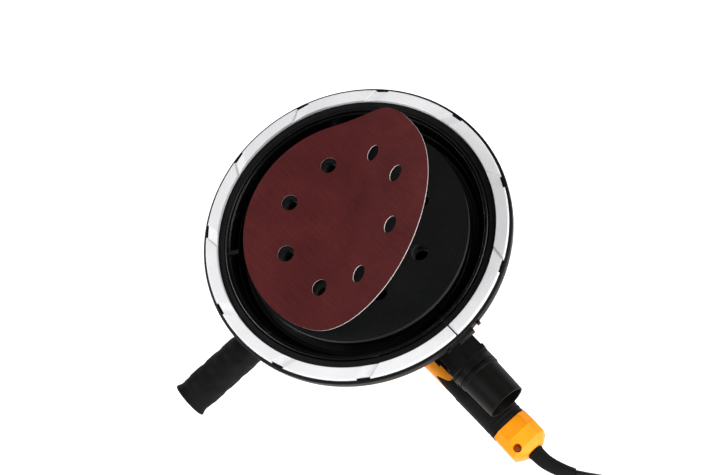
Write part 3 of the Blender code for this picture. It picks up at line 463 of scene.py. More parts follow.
def rounded(points, segments=4):
    """A closed outline whose corners (a, b, radius) are rounded; a corner (a, b) stays sharp."""
    outline = []
    for i, point in enumerate(points):
        corner = Vector(point[:2])
        radius = point[2] if len(point) > 2 else 0
        if not radius:
            outline.append(tuple(corner))
            continue
        before = Vector(points[i - 1][:2]) - corner
        after = Vector(points[(i + 1) % len(points)][:2]) - corner
        half = before.angle(after) / 2
        reach = min(radius / math.tan(half), 0.45 * before.length, 0.45 * after.length)
        start = corner + before.normalized() * reach
        end = corner + after.normalized() * reach
        for k in range(segments + 1):
            t = k / segments
            outline.append(tuple(start * (1 - t) ** 2 + corner * 2 * t * (1 - t) + end * t**2))
    return outline


def skin(rings, loop=False):
    """A closed skin over rings of points; a ring that holds one point is a tip."""
    shape = bmesh.new()
    made = [[shape.verts.new(point) for point in ring] for ring in rings]
    pairs = list(zip(made, made[1:]))
    if loop:
        pairs.append((made[-1], made[0]))
    for a, b in pairs:
        count = max(len(a), len(b))
        for i in range(count):
            corners = [a[i % len(a)], a[(i + 1) % len(a)], b[(i + 1) % len(b)], b[i % len(b)]]
            shape.faces.new(list(dict.fromkeys(corners)))
    if not loop:
        for end in (made[0], made[-1]):
            if len(end) > 2:
                shape.faces.new(end)
    return mesh_of(shape)


def lathe(profile, steps=160, centre=(0, 0), along="Z", loop=True):
    """A profile of (radius, level) turned about an axis through centre."""
    rings = []
    for radius, level in profile:
        ring = circle(radius, steps, centre) if radius else [centre]
        if along == "Z":
            rings.append([(a, b, level) for a, b in ring])
        elif along == "X":
            rings.append([(level, a, b) for a, b in ring])
        else:
            rings.append([(a, -level, b) for a, b in ring])
    return skin(rings, loop)


def drum(radius, low, high, centre=(0, 0), along="Z", steps=48):
    return lathe([(0, low), (radius, low), (radius, high), (0, high)], steps, centre, along, False)


def block(low, high, turn=None):
    shape = bmesh.new()
    bmesh.ops.create_cube(shape, size=1)
    low, high = Vector(low), Vector(high)
    bmesh.ops.scale(shape, vec=high - low, verts=shape.verts)
    bmesh.ops.translate(shape, vec=(low + high) / 2, verts=shape.verts)
    mesh = mesh_of(shape)
    if turn:
        mesh.transform(turn)
    return mesh


def prism(outline, start, end, turn=None):
    """An outline of (y, z) carried along X from start to end."""
    mesh = skin([[(x, y, z) for y, z in outline] for x in (start, end)])
    if turn:
        mesh.transform(turn)
    return mesh


def about(angle, centre=(0, 0, 0)):
    return Matrix.Translation(centre) @ Matrix.Rotation(angle, 4, "Z")


def combine(mesh, operation, tools):
    """The mesh with tools cut away from it or joined to it."""
    helpers = bpy.data.collections.new("helpers")
    base = add("base", mesh)
    bpy.context.scene.collection.children.link(helpers)
    for tool in tools:
        helpers.objects.link(bpy.data.objects.new("tool", tool))
    modifier = base.modifiers.new("combine", "BOOLEAN")
    modifier.operation = operation
    modifier.operand_type = "COLLECTION"
    modifier.collection = helpers
    modifier.solver = "EXACT"
    bpy.context.view_layer.update()
    graph = bpy.context.evaluated_depsgraph_get()
    result = bpy.data.meshes.new_from_object(base.evaluated_get(graph))
    for obj in [base, *helpers.objects]:
        bpy.data.objects.remove(obj)
    bpy.data.collections.remove(helpers)
    return result


def cut(mesh, *tools):
    return combine(mesh, "DIFFERENCE", tools)


def join(mesh, *tools):
    return combine(mesh, "UNION", tools)


def circle(radius, count=64, centre=(0, 0), phase=0.0):
    turn = [phase + TURN * i / count for i in range(count)]
    return [(centre[0] + radius * math.cos(a), centre[1] + radius * math.sin(a)) for a in turn]


def extruded(outlines, low, high):
    """Flat outlines, the inner ones holes, given thickness along Z."""
    curve = bpy.data.curves.new("outline", "CURVE")
    curve.dimensions = "2D"
    curve.fill_mode = "BOTH"
    curve.extrude = (high - low) / 2
    for outline in outlines:
        spline = curve.splines.new("POLY")
        spline.points.add(len(outline) - 1)
        for point, (x, y) in zip(spline.points, outline):
            point.co = (x, y, 0, 1)
        spline.use_cyclic_u = True
    obj = add("outline", curve)
    bpy.context.view_layer.update()
    graph = bpy.context.evaluated_depsgraph_get()
    mesh = bpy.data.meshes.new_from_object(obj.evaluated_get(graph))
    bpy.data.objects.remove(obj)
    mesh.materials.clear()
    shape = bmesh.new()
    shape.from_mesh(mesh)
    bmesh.ops.remove_doubles(shape, verts=shape.verts, dist=1e-6)
    bmesh.ops.translate(shape, vec=(0, 0, (low + high) / 2), verts=shape.verts)
    return mesh_of(shape)


def refined(name, look, bevel):
    """A CAD solid with its flat triangles merged and its edges rounded."""
    shape = bmesh.new()
    shape.from_mesh(frame["nodes"][name].data)
    bmesh.ops.remove_doubles(shape, verts=shape.verts, dist=1e-6)
    bmesh.ops.dissolve_limit(shape, angle_limit=math.radians(0.5), verts=shape.verts, edges=shape.edges)
    piece(name, mesh_of(shape), look, bevel=bevel)


def wave(start, end, value):
    """0 before start, 1 after end, and smooth between them."""
    t = min(max((value - start) / (end - start), 0), 1)
    return t * t * (3 - 2 * t)


# ---------------------------------------------------------------- head
def skid_ring():
    """Split ring with a rolled outer edge and skewed ramps stamped into its top."""
    top, low = RING_TOP, RING_LOW
    profile = rounded(
        [(0.1123, low), (RING_OUTER, low), (RING_OUTER, top, 0.0014), (0.1123, top, 0.0007)],
        6,
    )
    ring = lathe(profile, RIM_STEPS)
    tools = [block((0.105, -0.0006, 0.140), (0.130, 0.0006, 0.160), about(SLIT_ANGLE))]
    bevel = [(0.0004, top + 0.001), (0.0004, top - 0.0016), (0.0020, top), (0.0020, top + 0.001)]
    tools.append(prism(bevel, 0.105, 0.130, about(SLIT_ANGLE)))
    pitch = TURN / (GROOVES + 1)
    radius = 0.11715
    half = 0.0049
    ramp = [(-half, top + 0.001), (-half, top - 0.0001), (half, top - 0.0018), (half, top + 0.001)]
    notch = [(-0.0052, 0.140), (0.0052, 0.140), (0.0052, 0.160), (-0.0052, 0.160)]
    for i in range(GROOVES):
        angle = GROOVE_PHASE + pitch * (i + 1)
        place = (radius * math.cos(angle), radius * math.sin(angle), 0)
        tools.append(prism(ramp, -0.017, 0.017, about(angle - GROOVE_SKEW, place)))
        tools.append(prism(notch, RING_OUTER - 0.0015, 0.130, about(angle - math.radians(1.6))))
    ring = cut(ring, *tools)
    piece("skid_ring", ring, SILVER, 28, 0.0002)


def skirt_ring():
    """Floating collar: black outer rim, the seat of the skid ring and a raised inner band."""
    seat = RING_LOW - 0.0003
    profile = rounded([
        (SKIRT_OUTER, 0.1395, 0.0006), (SKIRT_OUTER, 0.1474, 0.0022), (0.1224, 0.1479, 0.0004),
        (0.1224, seat), (0.1119, seat), (0.1119, 0.1469, 0.0004), (0.1068, 0.1469, 0.0009),
        (0.1068, 0.1440, 0.0005), (0.1222, 0.1440), (0.1222, 0.1395),
    ])
    collar = lathe(profile, RIM_STEPS)
    clamp = block((0.1230, -0.0011, 0.1397), (0.1271, 0.0127, 0.1471))
    nub = block((0.1226, 0.0176, 0.1412), (0.1256, 0.0202, 0.1459))
    stop = block((0.1228, -0.0122, 0.1402), (0.1254, -0.0092, 0.1440))
    bridge = block((0.1070, -0.0004, 0.1441), (0.1130, 0.0034, 0.1474))
    collar = join(collar, clamp, nub, stop, bridge)
    piece("skirt_ring", collar, BLACK, bevel=0.0005)


def inner_shroud():
    """The dish: rounded lip, glossy sloping wall with steps, and a flat floor."""
    low = SHROUD_LOW
    profile = rounded([
        (0.022, low), (0.1028, low, 0.003), (0.1062, 0.127, 0.002), (0.1062, 0.1473, 0.0009),
        (0.1047, 0.1476, 0.0009), (0.1036, 0.1450, 0.0010), (0.1026, 0.1448, 0.0006),
        (0.1004, 0.1335, 0.0012), (0.0992, 0.1332, 0.0008), (0.0976, 0.1262, 0.0020),
        (0.0945, 0.1260, 0.0004), (0.0940, 0.1256, 0.0004), (0.0905, 0.1256, 0.0004),
        (0.0900, 0.1260, 0.0004), (0.022, 0.1260),
    ])
    dish = lathe(profile, RIM_STEPS)
    outline = [(0.0945, 0.1255), (0.1055, 0.1255), (0.1055, 0.1468), (0.1032, 0.1471), (0.0945, 0.1370)]
    lug = skin([[(x, y, z) for x, z in outline] for y in (-0.0004, 0.0034)])
    clip = block((0.0950, -0.0017, 0.1255), (0.1046, 0.0017, 0.1462), about(math.radians(-124)))
    dish = join(dish, lug, clip)
    dish = cut(dish, *floor_holes(0.115, 0.120, 0.128))
    piece("inner_shroud", dish, GLOSS, 30, 0.0004)


def floor_holes(port_low, low, high):
    """Tools that cut the dust port and the holes of the floor's screws."""
    tools = [block((PORT_START, TUBE.y - PORT_HALF, port_low), (PORT_END, TUBE.y + PORT_HALF, 0.130))]
    for place in map(middle, FLOOR_SCREWS):
        tools.append(drum(0.0021, low, high, (place.x, place.y), steps=24))
    return tools


def screw_mesh(place, head, top, under, shank, end, along="Z"):
    """Pan-head screw with a cross recess, its axis through place."""
    profile = rounded(
        [(0, top), (head * 0.55, top, 0.0006), (head, top - (top - under) * 0.55, 0.0006), (head, under)]
        + [(shank, under), (shank, end), (0, end)],
        3,
    )
    centre = (place.x, place.y)
    body = lathe(profile, 32, centre, along, False)
    turn = Matrix.Translation((place.x, place.y, 0)) @ Matrix.Rotation(0.6, 4, "Z")
    arm, width = head * 0.6, head * 0.11
    deep = top - (top - under) * 0.6
    slots = [
        block((-arm, -width, deep), (arm, width, top + 0.001), turn),
        block((-width, -arm, deep), (width, arm, top + 0.001), turn),
    ]
    return cut(body, join(slots[0], slots[1]))


def screws():
    for name in FLOOR_SCREWS:
        low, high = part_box(name)
        mesh = screw_mesh(middle(name), 0.0036, high.z, high.z - 0.002, 0.0017, low.z)
        piece(name, mesh, STEEL)
    low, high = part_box("end_cap_screw")
    mesh = screw_mesh(middle("end_cap_screw"), 0.0023, high.z, high.z - 0.0018, 0.0014, low.z)
    piece("end_cap_screw", mesh, STEEL)


def head_shell():
    """Back of the head: a dished shell, stiffened by radial ribs outside."""
    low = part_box("head_shell")[0].z
    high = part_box("head_shell")[1].z
    inside = SHROUD_LOW - 0.0003
    profile = rounded([
        (0.1217, high, 0.0005), (0.1217, 0.136, 0.004), (0.1192, 0.1305, 0.004),
        (0.1135, 0.1245, 0.005), (0.105, low, 0.006), (0.076, low, 0.0008), (0.076, inside),
        (0.1026, inside, 0.002), (0.1065, 0.1268, 0.001), (0.1065, 0.1295),
        (0.1165, 0.1295, 0.002), (0.1196, 0.1355, 0.002), (0.1196, high, 0.0005),
    ])
    shell = lathe(profile, RIM_STEPS)
    ribs = []
    outline = [(0.088, low + 0.0004), (0.1045, low + 0.0004), (0.1130, 0.1238), (0.1180, 0.1290)]
    outline += [(0.1120, 0.1275), (0.1040, 0.1215), (0.088, 0.1215)]
    for i in range(24):
        angle = TURN * (i + 0.5) / 24
        if abs(math.remainder(angle, TURN)) < math.radians(14):
            continue
        rib = skin([[(r, y, z - 0.0003) for r, z in outline] for y in (-0.0009, 0.0009)])
        rib.transform(about(angle))
        ribs.append(rib)
    shell = join(shell, *ribs)
    shell = cut(shell, *floor_holes(0.112, 0.112, 0.126))
    piece("head_shell", shell, BLACK)


def pad():
    centre = (PAD_CENTRE.x, PAD_CENTRE.y)
    places = circle(HOLE_CIRCLE, HOLES, centre, HOLE_PHASE)
    holes = [circle(HOLE_RADIUS, 40, place) for place in places]
    face = extruded([circle(PAD_RADIUS, 200, centre), circle(0.012, 48, centre), *holes], 0.1488, RING_TOP)
    piece("hook_face", face, HOOKS, bevel=0.00025)

    profile = rounded([
        (0.015, 0.138), (0.085, 0.138, 0.002), (PAD_RADIUS, 0.1425, 0.003),
        (PAD_RADIUS, 0.1485, 0.0008), (0.015, 0.1485),
    ])
    foam = lathe(profile, 200, centre)
    foam = cut(foam, *[drum(HOLE_RADIUS, 0.130, 0.155, place, steps=40) for place in places])
    piece("foam_pad", foam, FOAM)


def abrasive_disc():
    """The disc, half peeled off the pad: flat, then bent about a fold line, then nearly flat."""
    places = circle(HOLE_CIRCLE, HOLES, phase=HOLE_PHASE - PEEL_AXIS)
    holes = [circle(HOLE_RADIUS, 44, place) for place in places]
    sheet = extruded([circle(PAD_RADIUS, 220), *holes], 0, DISC_THICK)
    shape = bmesh.new()
    shape.from_mesh(sheet)
    step = 0.003
    for i in range(-30, 31):
        for normal in ((0, 1, 0), (1, 0, 0)):
            place = Vector(normal) * (i * step + 0.0004)
            geometry = [*shape.verts, *shape.edges, *shape.faces]
            bmesh.ops.bisect_plane(shape, geom=geometry, dist=1e-7, plane_co=place, plane_no=normal)
    bottom = RING_TOP + 0.0003
    end = PEEL_BEND * PEEL_ANGLE
    seed = Vector((3.1, 7.7, 0.4))
    for vertex in shape.verts:
        along = vertex.co.x
        across = -vertex.co.y - PEEL_START
        level = vertex.co.z
        bend = min(max(across / PEEL_BEND, 0), PEEL_ANGLE)
        beyond = max(across - end, 0)
        radius = PEEL_BEND - level
        out = PEEL_START + min(across, 0) + radius * math.sin(bend) + beyond * math.cos(bend)
        up = PEEL_BEND - radius * math.cos(bend) + beyond * math.sin(bend)
        up += TIP_LIFT * wave(*TIP_ALONG, along) * wave(*TIP_ACROSS, across)
        ripple = noise.noise(Vector((along * 22, across * 16, 0)) + seed) * 0.0011 * wave(0.02, 0.07, across)
        along += DISC_SLIP[0]
        out += DISC_SLIP[1]
        vertex.co = (
            PAD_CENTRE.x + along * math.cos(PEEL_AXIS) + out * math.sin(PEEL_AXIS),
            along * math.sin(PEEL_AXIS) - out * math.cos(PEEL_AXIS),
            bottom + up + ripple,
        )
    mesh = mesh_of(shape)
    for made in (GRIT, LOOPS, PAPER_EDGE):
        mesh.materials.append(made)
    piece("abrasive_disc", mesh, ("abrasive", None), 40)
    peel = Vector((math.sin(PEEL_AXIS), -math.cos(PEEL_AXIS), 0))
    facing = Vector((0, 0, 1)) * math.cos(PEEL_ANGLE / 2) - peel * math.sin(PEEL_ANGLE / 2)
    for polygon in mesh.polygons:
        tilt = polygon.normal.dot(facing)
        polygon.material_index = 0 if tilt > 0.5 else 1 if tilt < -0.5 else 2


# ---------------------------------------------------------------- motor and gears
def motor_tower():
    """Motor housing with cooling slots by the fan, raised bands and bosses for the brush caps."""
    centre = (MOTOR.x, MOTOR.y)
    outer, inner = TOWER_RADIUS, TOWER_RADIUS - 0.0032
    band = 0.0006
    profile = rounded([
        (outer - band, TOWER_LOW, 0.0003), (outer, TOWER_LOW + 0.0008, 0.0004),
        (outer, TOWER_LOW + 0.0045, 0.0004), (outer - band, TOWER_LOW + 0.0053, 0.0004),
        (outer - band, TOWER_HIGH - 0.0075, 0.0004), (outer, TOWER_HIGH - 0.0067, 0.0004),
        (outer, TOWER_HIGH - 0.0004, 0.0004), (outer - 0.0004, TOWER_HIGH), (inner, TOWER_HIGH),
        (inner, TOWER_LOW),
    ], 3)
    shell = lathe(profile, 180, centre)
    brush = middle("brush_cap_left").z

    def both_sides(radius, near, far):
        """Drums on the brushes' axis, from near to far beside the motor's."""
        levels = [sorted((-MOTOR.y + side * near, -MOTOR.y + side * far)) for side in (-1, 1)]
        return [drum(radius, *level, (MOTOR.x, brush), "-Y") for level in levels]

    shell = join(shell, *both_sides(0.0092, 0.0372, 0.0398))
    tools = both_sides(0.0064, 0.030, 0.045)
    for i in range(30):
        angle = TURN * (i + 0.5) / 30
        if abs(math.remainder(angle, TURN)) < math.radians(38):
            continue
        turn = about(angle, (MOTOR.x, MOTOR.y, 0))
        tools.append(block((0.034, -0.0012, 0.0605), (0.046, 0.0012, 0.0735), turn))
    shell = cut(shell, *tools)
    piece("motor_housing", shell, YELLOW)

    low = rounded([
        (0, 0), (outer - 0.0022, 0, 0.0012), (outer, 0.0025, 0.0012), (outer, 0.0080, 0.0003),
        (inner, 0.0080), (inner, 0.0032), (0, 0.0032),
    ])
    end = lathe(low, 120, centre, loop=False)
    slots = []
    for i in range(8):
        turn = about(math.pi / 8 + i * TURN / 8, (MOTOR.x, MOTOR.y, 0))
        slots.append(block((0.015, -0.0015, -0.001), (0.028, 0.0015, 0.005), turn))
    end = cut(end, *slots)
    piece("motor_end_cap", end, BLACK, bevel=0.0003)

    for suffix, side in (("left", -1), ("right", 1)):
        centre_at = (MOTOR.x, brush)
        outside = -MOTOR.y + side * 0.0405
        inside = -MOTOR.y + side * 0.0335
        profile = rounded([(0, outside), (0.0060, outside, 0.0009), (0.0060, inside), (0, inside)], 3)
        cap = lathe(profile, 48, centre_at, "-Y", False)
        face = sorted((-outside - side * 0.0004, -outside + side * 0.0016))
        low, high = (MOTOR.x - 0.0045, face[0], brush - 0.0007), (MOTOR.x + 0.0045, face[1], brush + 0.0007)
        slot = block(low, high)
        piece(f"brush_cap_{suffix}", cut(cap, slot), BLACK)


def inside():
    """Working pieces that the casings hide, with their edges rounded."""
    for look, bevel, names in (
        (GEAR, 0.0002, ("spindle_gear",)),
        (STEEL, 0.0003, ("spindle", "pad_screw", "counterweight", "armature_shaft")),
        (STEEL, 0.0004, ("spindle_bearing_front", "spindle_bearing_rear")),
        (STEEL, 0.0004, ("motor_bearing_front", "motor_bearing_rear", "pad_bearing")),
        (CAST, 0.0005, ("gear_cover", "backing_plate")),
        (CAST, 0.0008, ("gear_housing",)),
        (CORE, 0.0003, ("stator_core", "armature_core")),
        (COPPER, 0.0003, ("commutator",)),
        (BLACK, 0.0003, ("cooling_fan",)),
        (CARBON, 0.0004, ("carbon_brush_left", "carbon_brush_right")),
        (BLACK, 0.0006, ("switch_body",)),
        (BOARD, 0.0001, ("speed_control_board",)),
        (STEEL, 0.0003, ("side_stud",)),
    ):
        for name in names:
            refined(name, look, bevel)


def skirt_springs():
    """Fine compression springs: the wire as a tube along a helix with closed ends."""
    for i in range(3):
        name = f"skirt_spring_{i + 1}"
        low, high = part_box(name)
        centre = (low + high) / 2
        wire, radius, turns = 0.00045, 0.003, 6
        points = []
        count = turns * 16
        for k in range(count + 1):
            angle = TURN * k / 16
            climb = wave(0, 1, k / count) * 0.35 + (k / count) * 0.65
            level = low.z + wire + (high.z - low.z - 2 * wire) * climb
            points.append((centre.x + radius * math.cos(angle), centre.y + radius * math.sin(angle), level))
        mesh = tube_mesh(points, [wire] * len(points), 8)
        piece(name, mesh, STEEL, 40)


def tube_mesh(points, radii, sides=20):
    """A round bar along points, each with its own radius, without twist."""
    line = [Vector(point) for point in points]
    normal = None
    rings = []
    for i, point in enumerate(line):
        ahead = line[min(i + 1, len(line) - 1)] - line[max(i - 1, 0)]
        ahead.normalize()
        if normal is None:
            normal = ahead.orthogonal().normalized()
        normal = (normal - ahead * normal.dot(ahead)).normalized()
        side = ahead.cross(normal)
        rings.append([point + (normal * a + side * b) * radii[i] for a, b in circle(1, sides)])
    return skin(rings)


# ---------------------------------------------------------------- rear handle
def outline_point(width, height, corner, share):
    """A point on a rounded rectangle, at a share of its length from the top centre towards -Y."""
    flat_w, flat_h = width / 2 - corner, height / 2 - corner
    quarter = corner * math.pi / 2
    total = 4 * (flat_w + flat_h + quarter)
    sign = -1
    run = (share % 1.0) * total
    if run > total / 2:
        run = total - run
        sign = 1
    if run <= flat_w:
        across, up = run, height / 2
    elif run <= flat_w + quarter:
        angle = (run - flat_w) / corner
        across, up = flat_w + corner * math.sin(angle), flat_h + corner * math.cos(angle)
    elif run <= flat_w + quarter + 2 * flat_h:
        across, up = width / 2, flat_h - (run - flat_w - quarter)
    elif run <= flat_w + 2 * quarter + 2 * flat_h:
        angle = (run - flat_w - quarter - 2 * flat_h) / corner
        across, up = flat_w + corner * math.cos(angle), -flat_h - corner * math.sin(angle)
    else:
        across, up = total / 2 - run, -height / 2
    return sign * across, up


def handle_point(x, share, offset=0.0):
    """The handle's outside at x; it flares where it meets the motor housing."""
    flare = math.exp(-max(x - 0.072, 0) / 0.009)
    narrow = wave(0.100, 0.165, x)
    width = 0.0348 - 0.0042 * narrow + 0.010 * flare + 2 * offset
    swell = 0.0009 * math.sin(math.pi * min(max((x - 0.100) / 0.075, 0), 1))
    height = 0.0380 + 2 * swell + 0.006 * flare + 2 * offset
    corner = 0.0130 + offset
    across, up = outline_point(width, height, corner, share)
    return x, HANDLE.y - 0.0007 * narrow + across, HANDLE.z + up - swell * 0.5


def handle_start(y):
    """Where the handle meets the round motor housing."""
    gap = TOWER_RADIUS + 0.0003
    across = min(abs(y - MOTOR.y), gap * 0.8)
    return MOTOR.x + math.sqrt(gap**2 - across**2)


RUBBER_EDGE = (
    (0.000, 0.1235), (0.068, 0.1237), (0.092, 0.1232), (0.108, 0.1212), (0.122, 0.1178), (0.138, 0.1140),
    (0.155, 0.1106), (0.163, 0.1137), (0.172, 0.1172), (0.188, 0.1222), (0.205, 0.1275), (0.222, 0.1318),
    (0.238, 0.1340), (0.262, 0.1335), (0.300, 0.1300), (0.360, 0.1270), (0.430, 0.1258), (0.500, 0.1255),
)  # where the rubber starts, by share of the way round from the top; both sides alike


def rubber_start(share):
    share = min(share % 1.0, 1 - share % 1.0)
    for (a, start), (b, end) in zip(RUBBER_EDGE, RUBBER_EDGE[1:]):
        if share <= b:
            t = (share - a) / (b - a)
            return start + (end - start) * t
    return RUBBER_EDGE[-1][1]


def handle():
    """Two yellow half shells, the rubber moulded over their rear and the slots for the controls."""
    columns = 60
    rows = 60
    thick = 0.0026
    low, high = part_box("switch_slider")
    slider = middle("switch_slider")
    dial = middle("speed_dial")
    under = HANDLE.z - 0.025
    above = low.z + 0.012
    seat = HANDLE.z - 0.0183
    slot = block((low.x - 0.0010, slider.y - 0.0038, under), (high.x + 0.0060, slider.y + 0.0038, above))
    window = block((dial.x - 0.0114, dial.y - 0.0034, under), (dial.x + 0.0114, dial.y + 0.0034, above))
    recess = block((low.x - 0.0040, slider.y - 0.0068, under), (high.x + 0.0090, slider.y + 0.0068, seat))
    for suffix, start in (("right", 0.0), ("left", 0.5)):
        rings = []
        shares = [start + 0.0008 + (0.4984 * k / columns) for k in range(columns + 1)]
        for i in range(rows + 1):
            t = i / rows
            ring = []
            for offset, order in ((0.0, shares), (-thick, shares[::-1])):
                for share in order:
                    _, y, _ = handle_point(0.08, share)
                    first = handle_start(y)
                    x = first + (GRIP_END - 0.0006 - first) * t
                    tuck = -0.0013 * wave(0.1365, 0.1385, x)
                    ring.append(handle_point(x, share, offset + tuck))
            rings.append(ring)
        half = cut(skin(rings), slot, window, recess)
        piece(f"handle_shell_{suffix}", half, YELLOW, bevel=0.00025)

    around = 240
    lead = [0.0, 0.0002, 0.0005, 0.0009]
    rings = []
    span = 96
    proud = 0.00055
    for inner in (False, True):
        order = range(len(lead) + span)
        for i in reversed(order) if inner else order:
            ring = []
            for k in range(around):
                share = k / around
                first = rubber_start(share)
                if i < len(lead):
                    x = first + lead[i]
                else:
                    begin = first + lead[-1]
                    x = begin + (GRIP_END - begin) * (i - len(lead) + 1) / span
                rise = 0.00006 + (proud - 0.00006) * math.sqrt(min((x - first) / lead[-1], 1))
                for groove in (0.1702, 0.1738, 0.1774):
                    rise -= 0.0007 * math.exp(-(((x - groove) / 0.00055) ** 2))
                rise = 0.00004 if inner else rise
                ring.append(handle_point(x, share, rise))
            rings.append(ring)
    piece("grip_overmould", skin(rings, True), SOFT, 40)


def controls():
    """Ridged slide switch and knurled speed dial, in their slots under the handle."""
    low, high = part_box("switch_slider")
    thumb = block((low.x, low.y, low.z + 0.0009), high)
    ridges = []
    for i in range(4):
        x = low.x + 0.0011 + i * 0.0021
        ridges.append(block((x, low.y + 0.0004, low.z), (x + 0.0010, high.y - 0.0004, low.z + 0.002)))
    thumb = join(thumb, *ridges)
    piece("switch_slider", thumb, BLACK, bevel=0.0003)

    dial = middle("speed_dial")
    teeth, steps = 40, 240
    rings = []
    rim_levels = ((-0.0030, 0.90), (-0.0027, 0.97), (-0.0022, 1.0))
    rim_levels += tuple((-level, part) for level, part in reversed(rim_levels))
    for level, part in rim_levels:
        ring = []
        for i in range(steps):
            angle = TURN * i / steps
            radius = (0.0107 + 0.0003 * math.cos(teeth * angle)) * part
            across, up = radius * math.cos(angle), radius * math.sin(angle)
            ring.append((dial.x + across, dial.y + level, dial.z + up))
        rings.append(ring)
    wheel = skin(rings)
    pin = drum(0.0016, -dial.y - 0.006, -dial.y + 0.006, (dial.x, dial.z), "-Y", 24)
    piece("speed_dial", join(wheel, pin), BLACK, 40)


def end_cap():
    """Faceted yellow cap: a straight collar, a ridge, and flat facets that close in on the cord."""
    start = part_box("end_cap")[0].x
    ridge = CAP_END - 0.0147
    stations = (
        (start, -0.0272, 0.0042, 0.0190, 0.0055), (ridge, -0.0272, 0.0046, 0.0193, 0.0060),
        (CAP_END - 0.0050, -0.0272, 0.0046, 0.0150, 0.0050),
        (CAP_END, -0.0200, -0.0022, 0.0098, 0.0035),
    )
    rings = []
    for x, near, far, half_height, corner in stations:
        ring = []
        for a, b in ((1, 1), (-1, 1), (-1, -1), (1, -1)):
            side = far if a > 0 else near
            beside = (side, b * (half_height - corner))
            above = (side - a * corner, b * half_height)
            ring += [beside, above] if a == b else [above, beside]
        rings.append([(x, across, HANDLE.z + up) for across, up in ring])
    screw = middle("end_cap_screw")
    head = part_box("end_cap_screw")[1].z
    cord = (HANDLE.y, HANDLE.z)
    tools = [
        drum(0.0046, start - 0.004, CAP_END - 0.005, cord, "X"),
        drum(0.0034, head - 0.0022, 0.0900, (screw.x, screw.y)),
        drum(0.0018, 0.0575, head, (screw.x, screw.y)),
    ]
    mesh = cut(skin(rings), *tools)
    piece("end_cap", mesh, YELLOW, 14, 0.0005, 3)


# ---------------------------------------------------------------- dust outlet
def dust_outlet():
    """Square duct with a clamping flange, and the round tube that the hose fits over."""
    low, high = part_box("dust_duct")
    top = high.z
    y = TUBE.y
    flange = 0.134
    body = block((low.x, y - 0.0135, 0.0864), (0.1318, y + 0.0153, top))
    parts = [
        block((0.1302, y - 0.0173, 0.0847), (flange, y + 0.0163, top - 0.0002)),
        block((0.1264, y - 0.0161, 0.0856), (0.1283, y + 0.0153, top - 0.0010)),
        block((0.0792, y - 0.0180, 0.0859), (0.1113, y + 0.0165, 0.0889)),
        block((low.x + 0.001, y - 0.0152, top - 0.0020), (0.1310, y - 0.0100, top - 0.0002)),
        block((0.1105, y - 0.0163, 0.0861), (0.1308, y + 0.0150, 0.0883)),
        block((0.1180, y - 0.0112, top - 0.004), (0.1335, y - 0.0042, top + 0.0003)),
        block((0.1213, y + 0.0022, top - 0.005), (0.1330, y + 0.0100, top + 0.0002)),
        drum(0.0172, flange - 0.0022, flange + 0.0060, (y, TUBE.z), "X", 96),
    ]
    duct = join(body, *parts)
    tools = [
        block((low.x + 0.002, y - 0.0113, 0.0896), (0.1301, y + 0.0113, 0.1171)),
        block((0.0803, y - 0.011, 0.110), (0.0957, y + 0.011, 0.125)),
        drum(0.0140, 0.1290, flange + 0.008, (y, TUBE.z), "X", 96),
        block((0.1296, y - 0.0190, 0.0990), (0.1345, y - 0.0162, 0.1045)),
    ]
    duct = cut(duct, *tools)
    piece("dust_duct", duct, BLACK, bevel=0.0005)

    start = flange + 0.0063
    profile = rounded([
        (0.0136, 0.1332), (0.0136, start), (0.0172, start, 0.0007),
        (0.0172, start + 0.0030, 0.0009), (0.0164, start + 0.0042, 0.0010),
        (0.0155, TUBE_END - 0.0014, 0.0004), (0.0155, TUBE_END, 0.0005),
        (0.0141, TUBE_END, 0.0004), (0.0120, 0.1332),
    ])
    tube = lathe(profile, 160, (y, TUBE.z), "X")
    piece("dust_outlet_tube", tube, DULL, 40)


# ---------------------------------------------------------------- side handle
def side_handle():
    """Rubber grip with staggered finger dimples between two flanges, round a moulded core."""
    length = SIDE_FAR - SIDE_NEAR
    rows, columns = 150, 96
    rings = [[(SIDE.x, -SIDE_NEAR, SIDE.z)]]
    for i in range(rows + 1):
        t = i / rows
        run = t * length
        from_far = length - run
        radius = 0.0151 - 0.0009 * math.exp(-(((from_far - 0.0062) / 0.0036) ** 2))
        radius += 0.0009 * math.exp(-((from_far / 0.0026) ** 2))
        radius += 0.0032 * math.exp(-((run - 0.0030) / 0.0040) ** 2)
        radius -= 0.0004 * wave(0.0009, 0.0, from_far) + 0.0025 * wave(0.0030, 0.0, run)
        fade = wave(0.005, 0.010, run) * wave(0.007, 0.012, from_far)
        ring = []
        for k in range(columns):
            angle = TURN * k / columns
            band = (run - 0.0065) / 0.0085
            shift = math.pi / 6 * (int(math.floor(band)) % 2)
            across = 0.5 + 0.5 * math.cos(6 * (angle + shift))
            along = 0.5 - 0.5 * math.cos(TURN * (band - math.floor(band)))
            dimple = 0.0007 * fade * across**1.5 * along
            r = radius - dimple
            ring.append((SIDE.x + r * math.cos(angle), -(SIDE_NEAR + run), SIDE.z + r * math.sin(angle)))
        rings.append(ring)
    rings.append([(SIDE.x, -SIDE_FAR, SIDE.z)])
    grip = skin(rings)
    dent = drum(0.0075, SIDE_FAR - 0.0012, SIDE_FAR + 0.002, (SIDE.x, SIDE.z), "-Y")
    socket = drum(0.0043, SIDE_NEAR - 0.005, SIDE_NEAR + 0.030, (SIDE.x, SIDE.z), "-Y", 32)
    grip = cut(grip, dent, socket)
    piece("side_grip", grip, SOFT, 40)


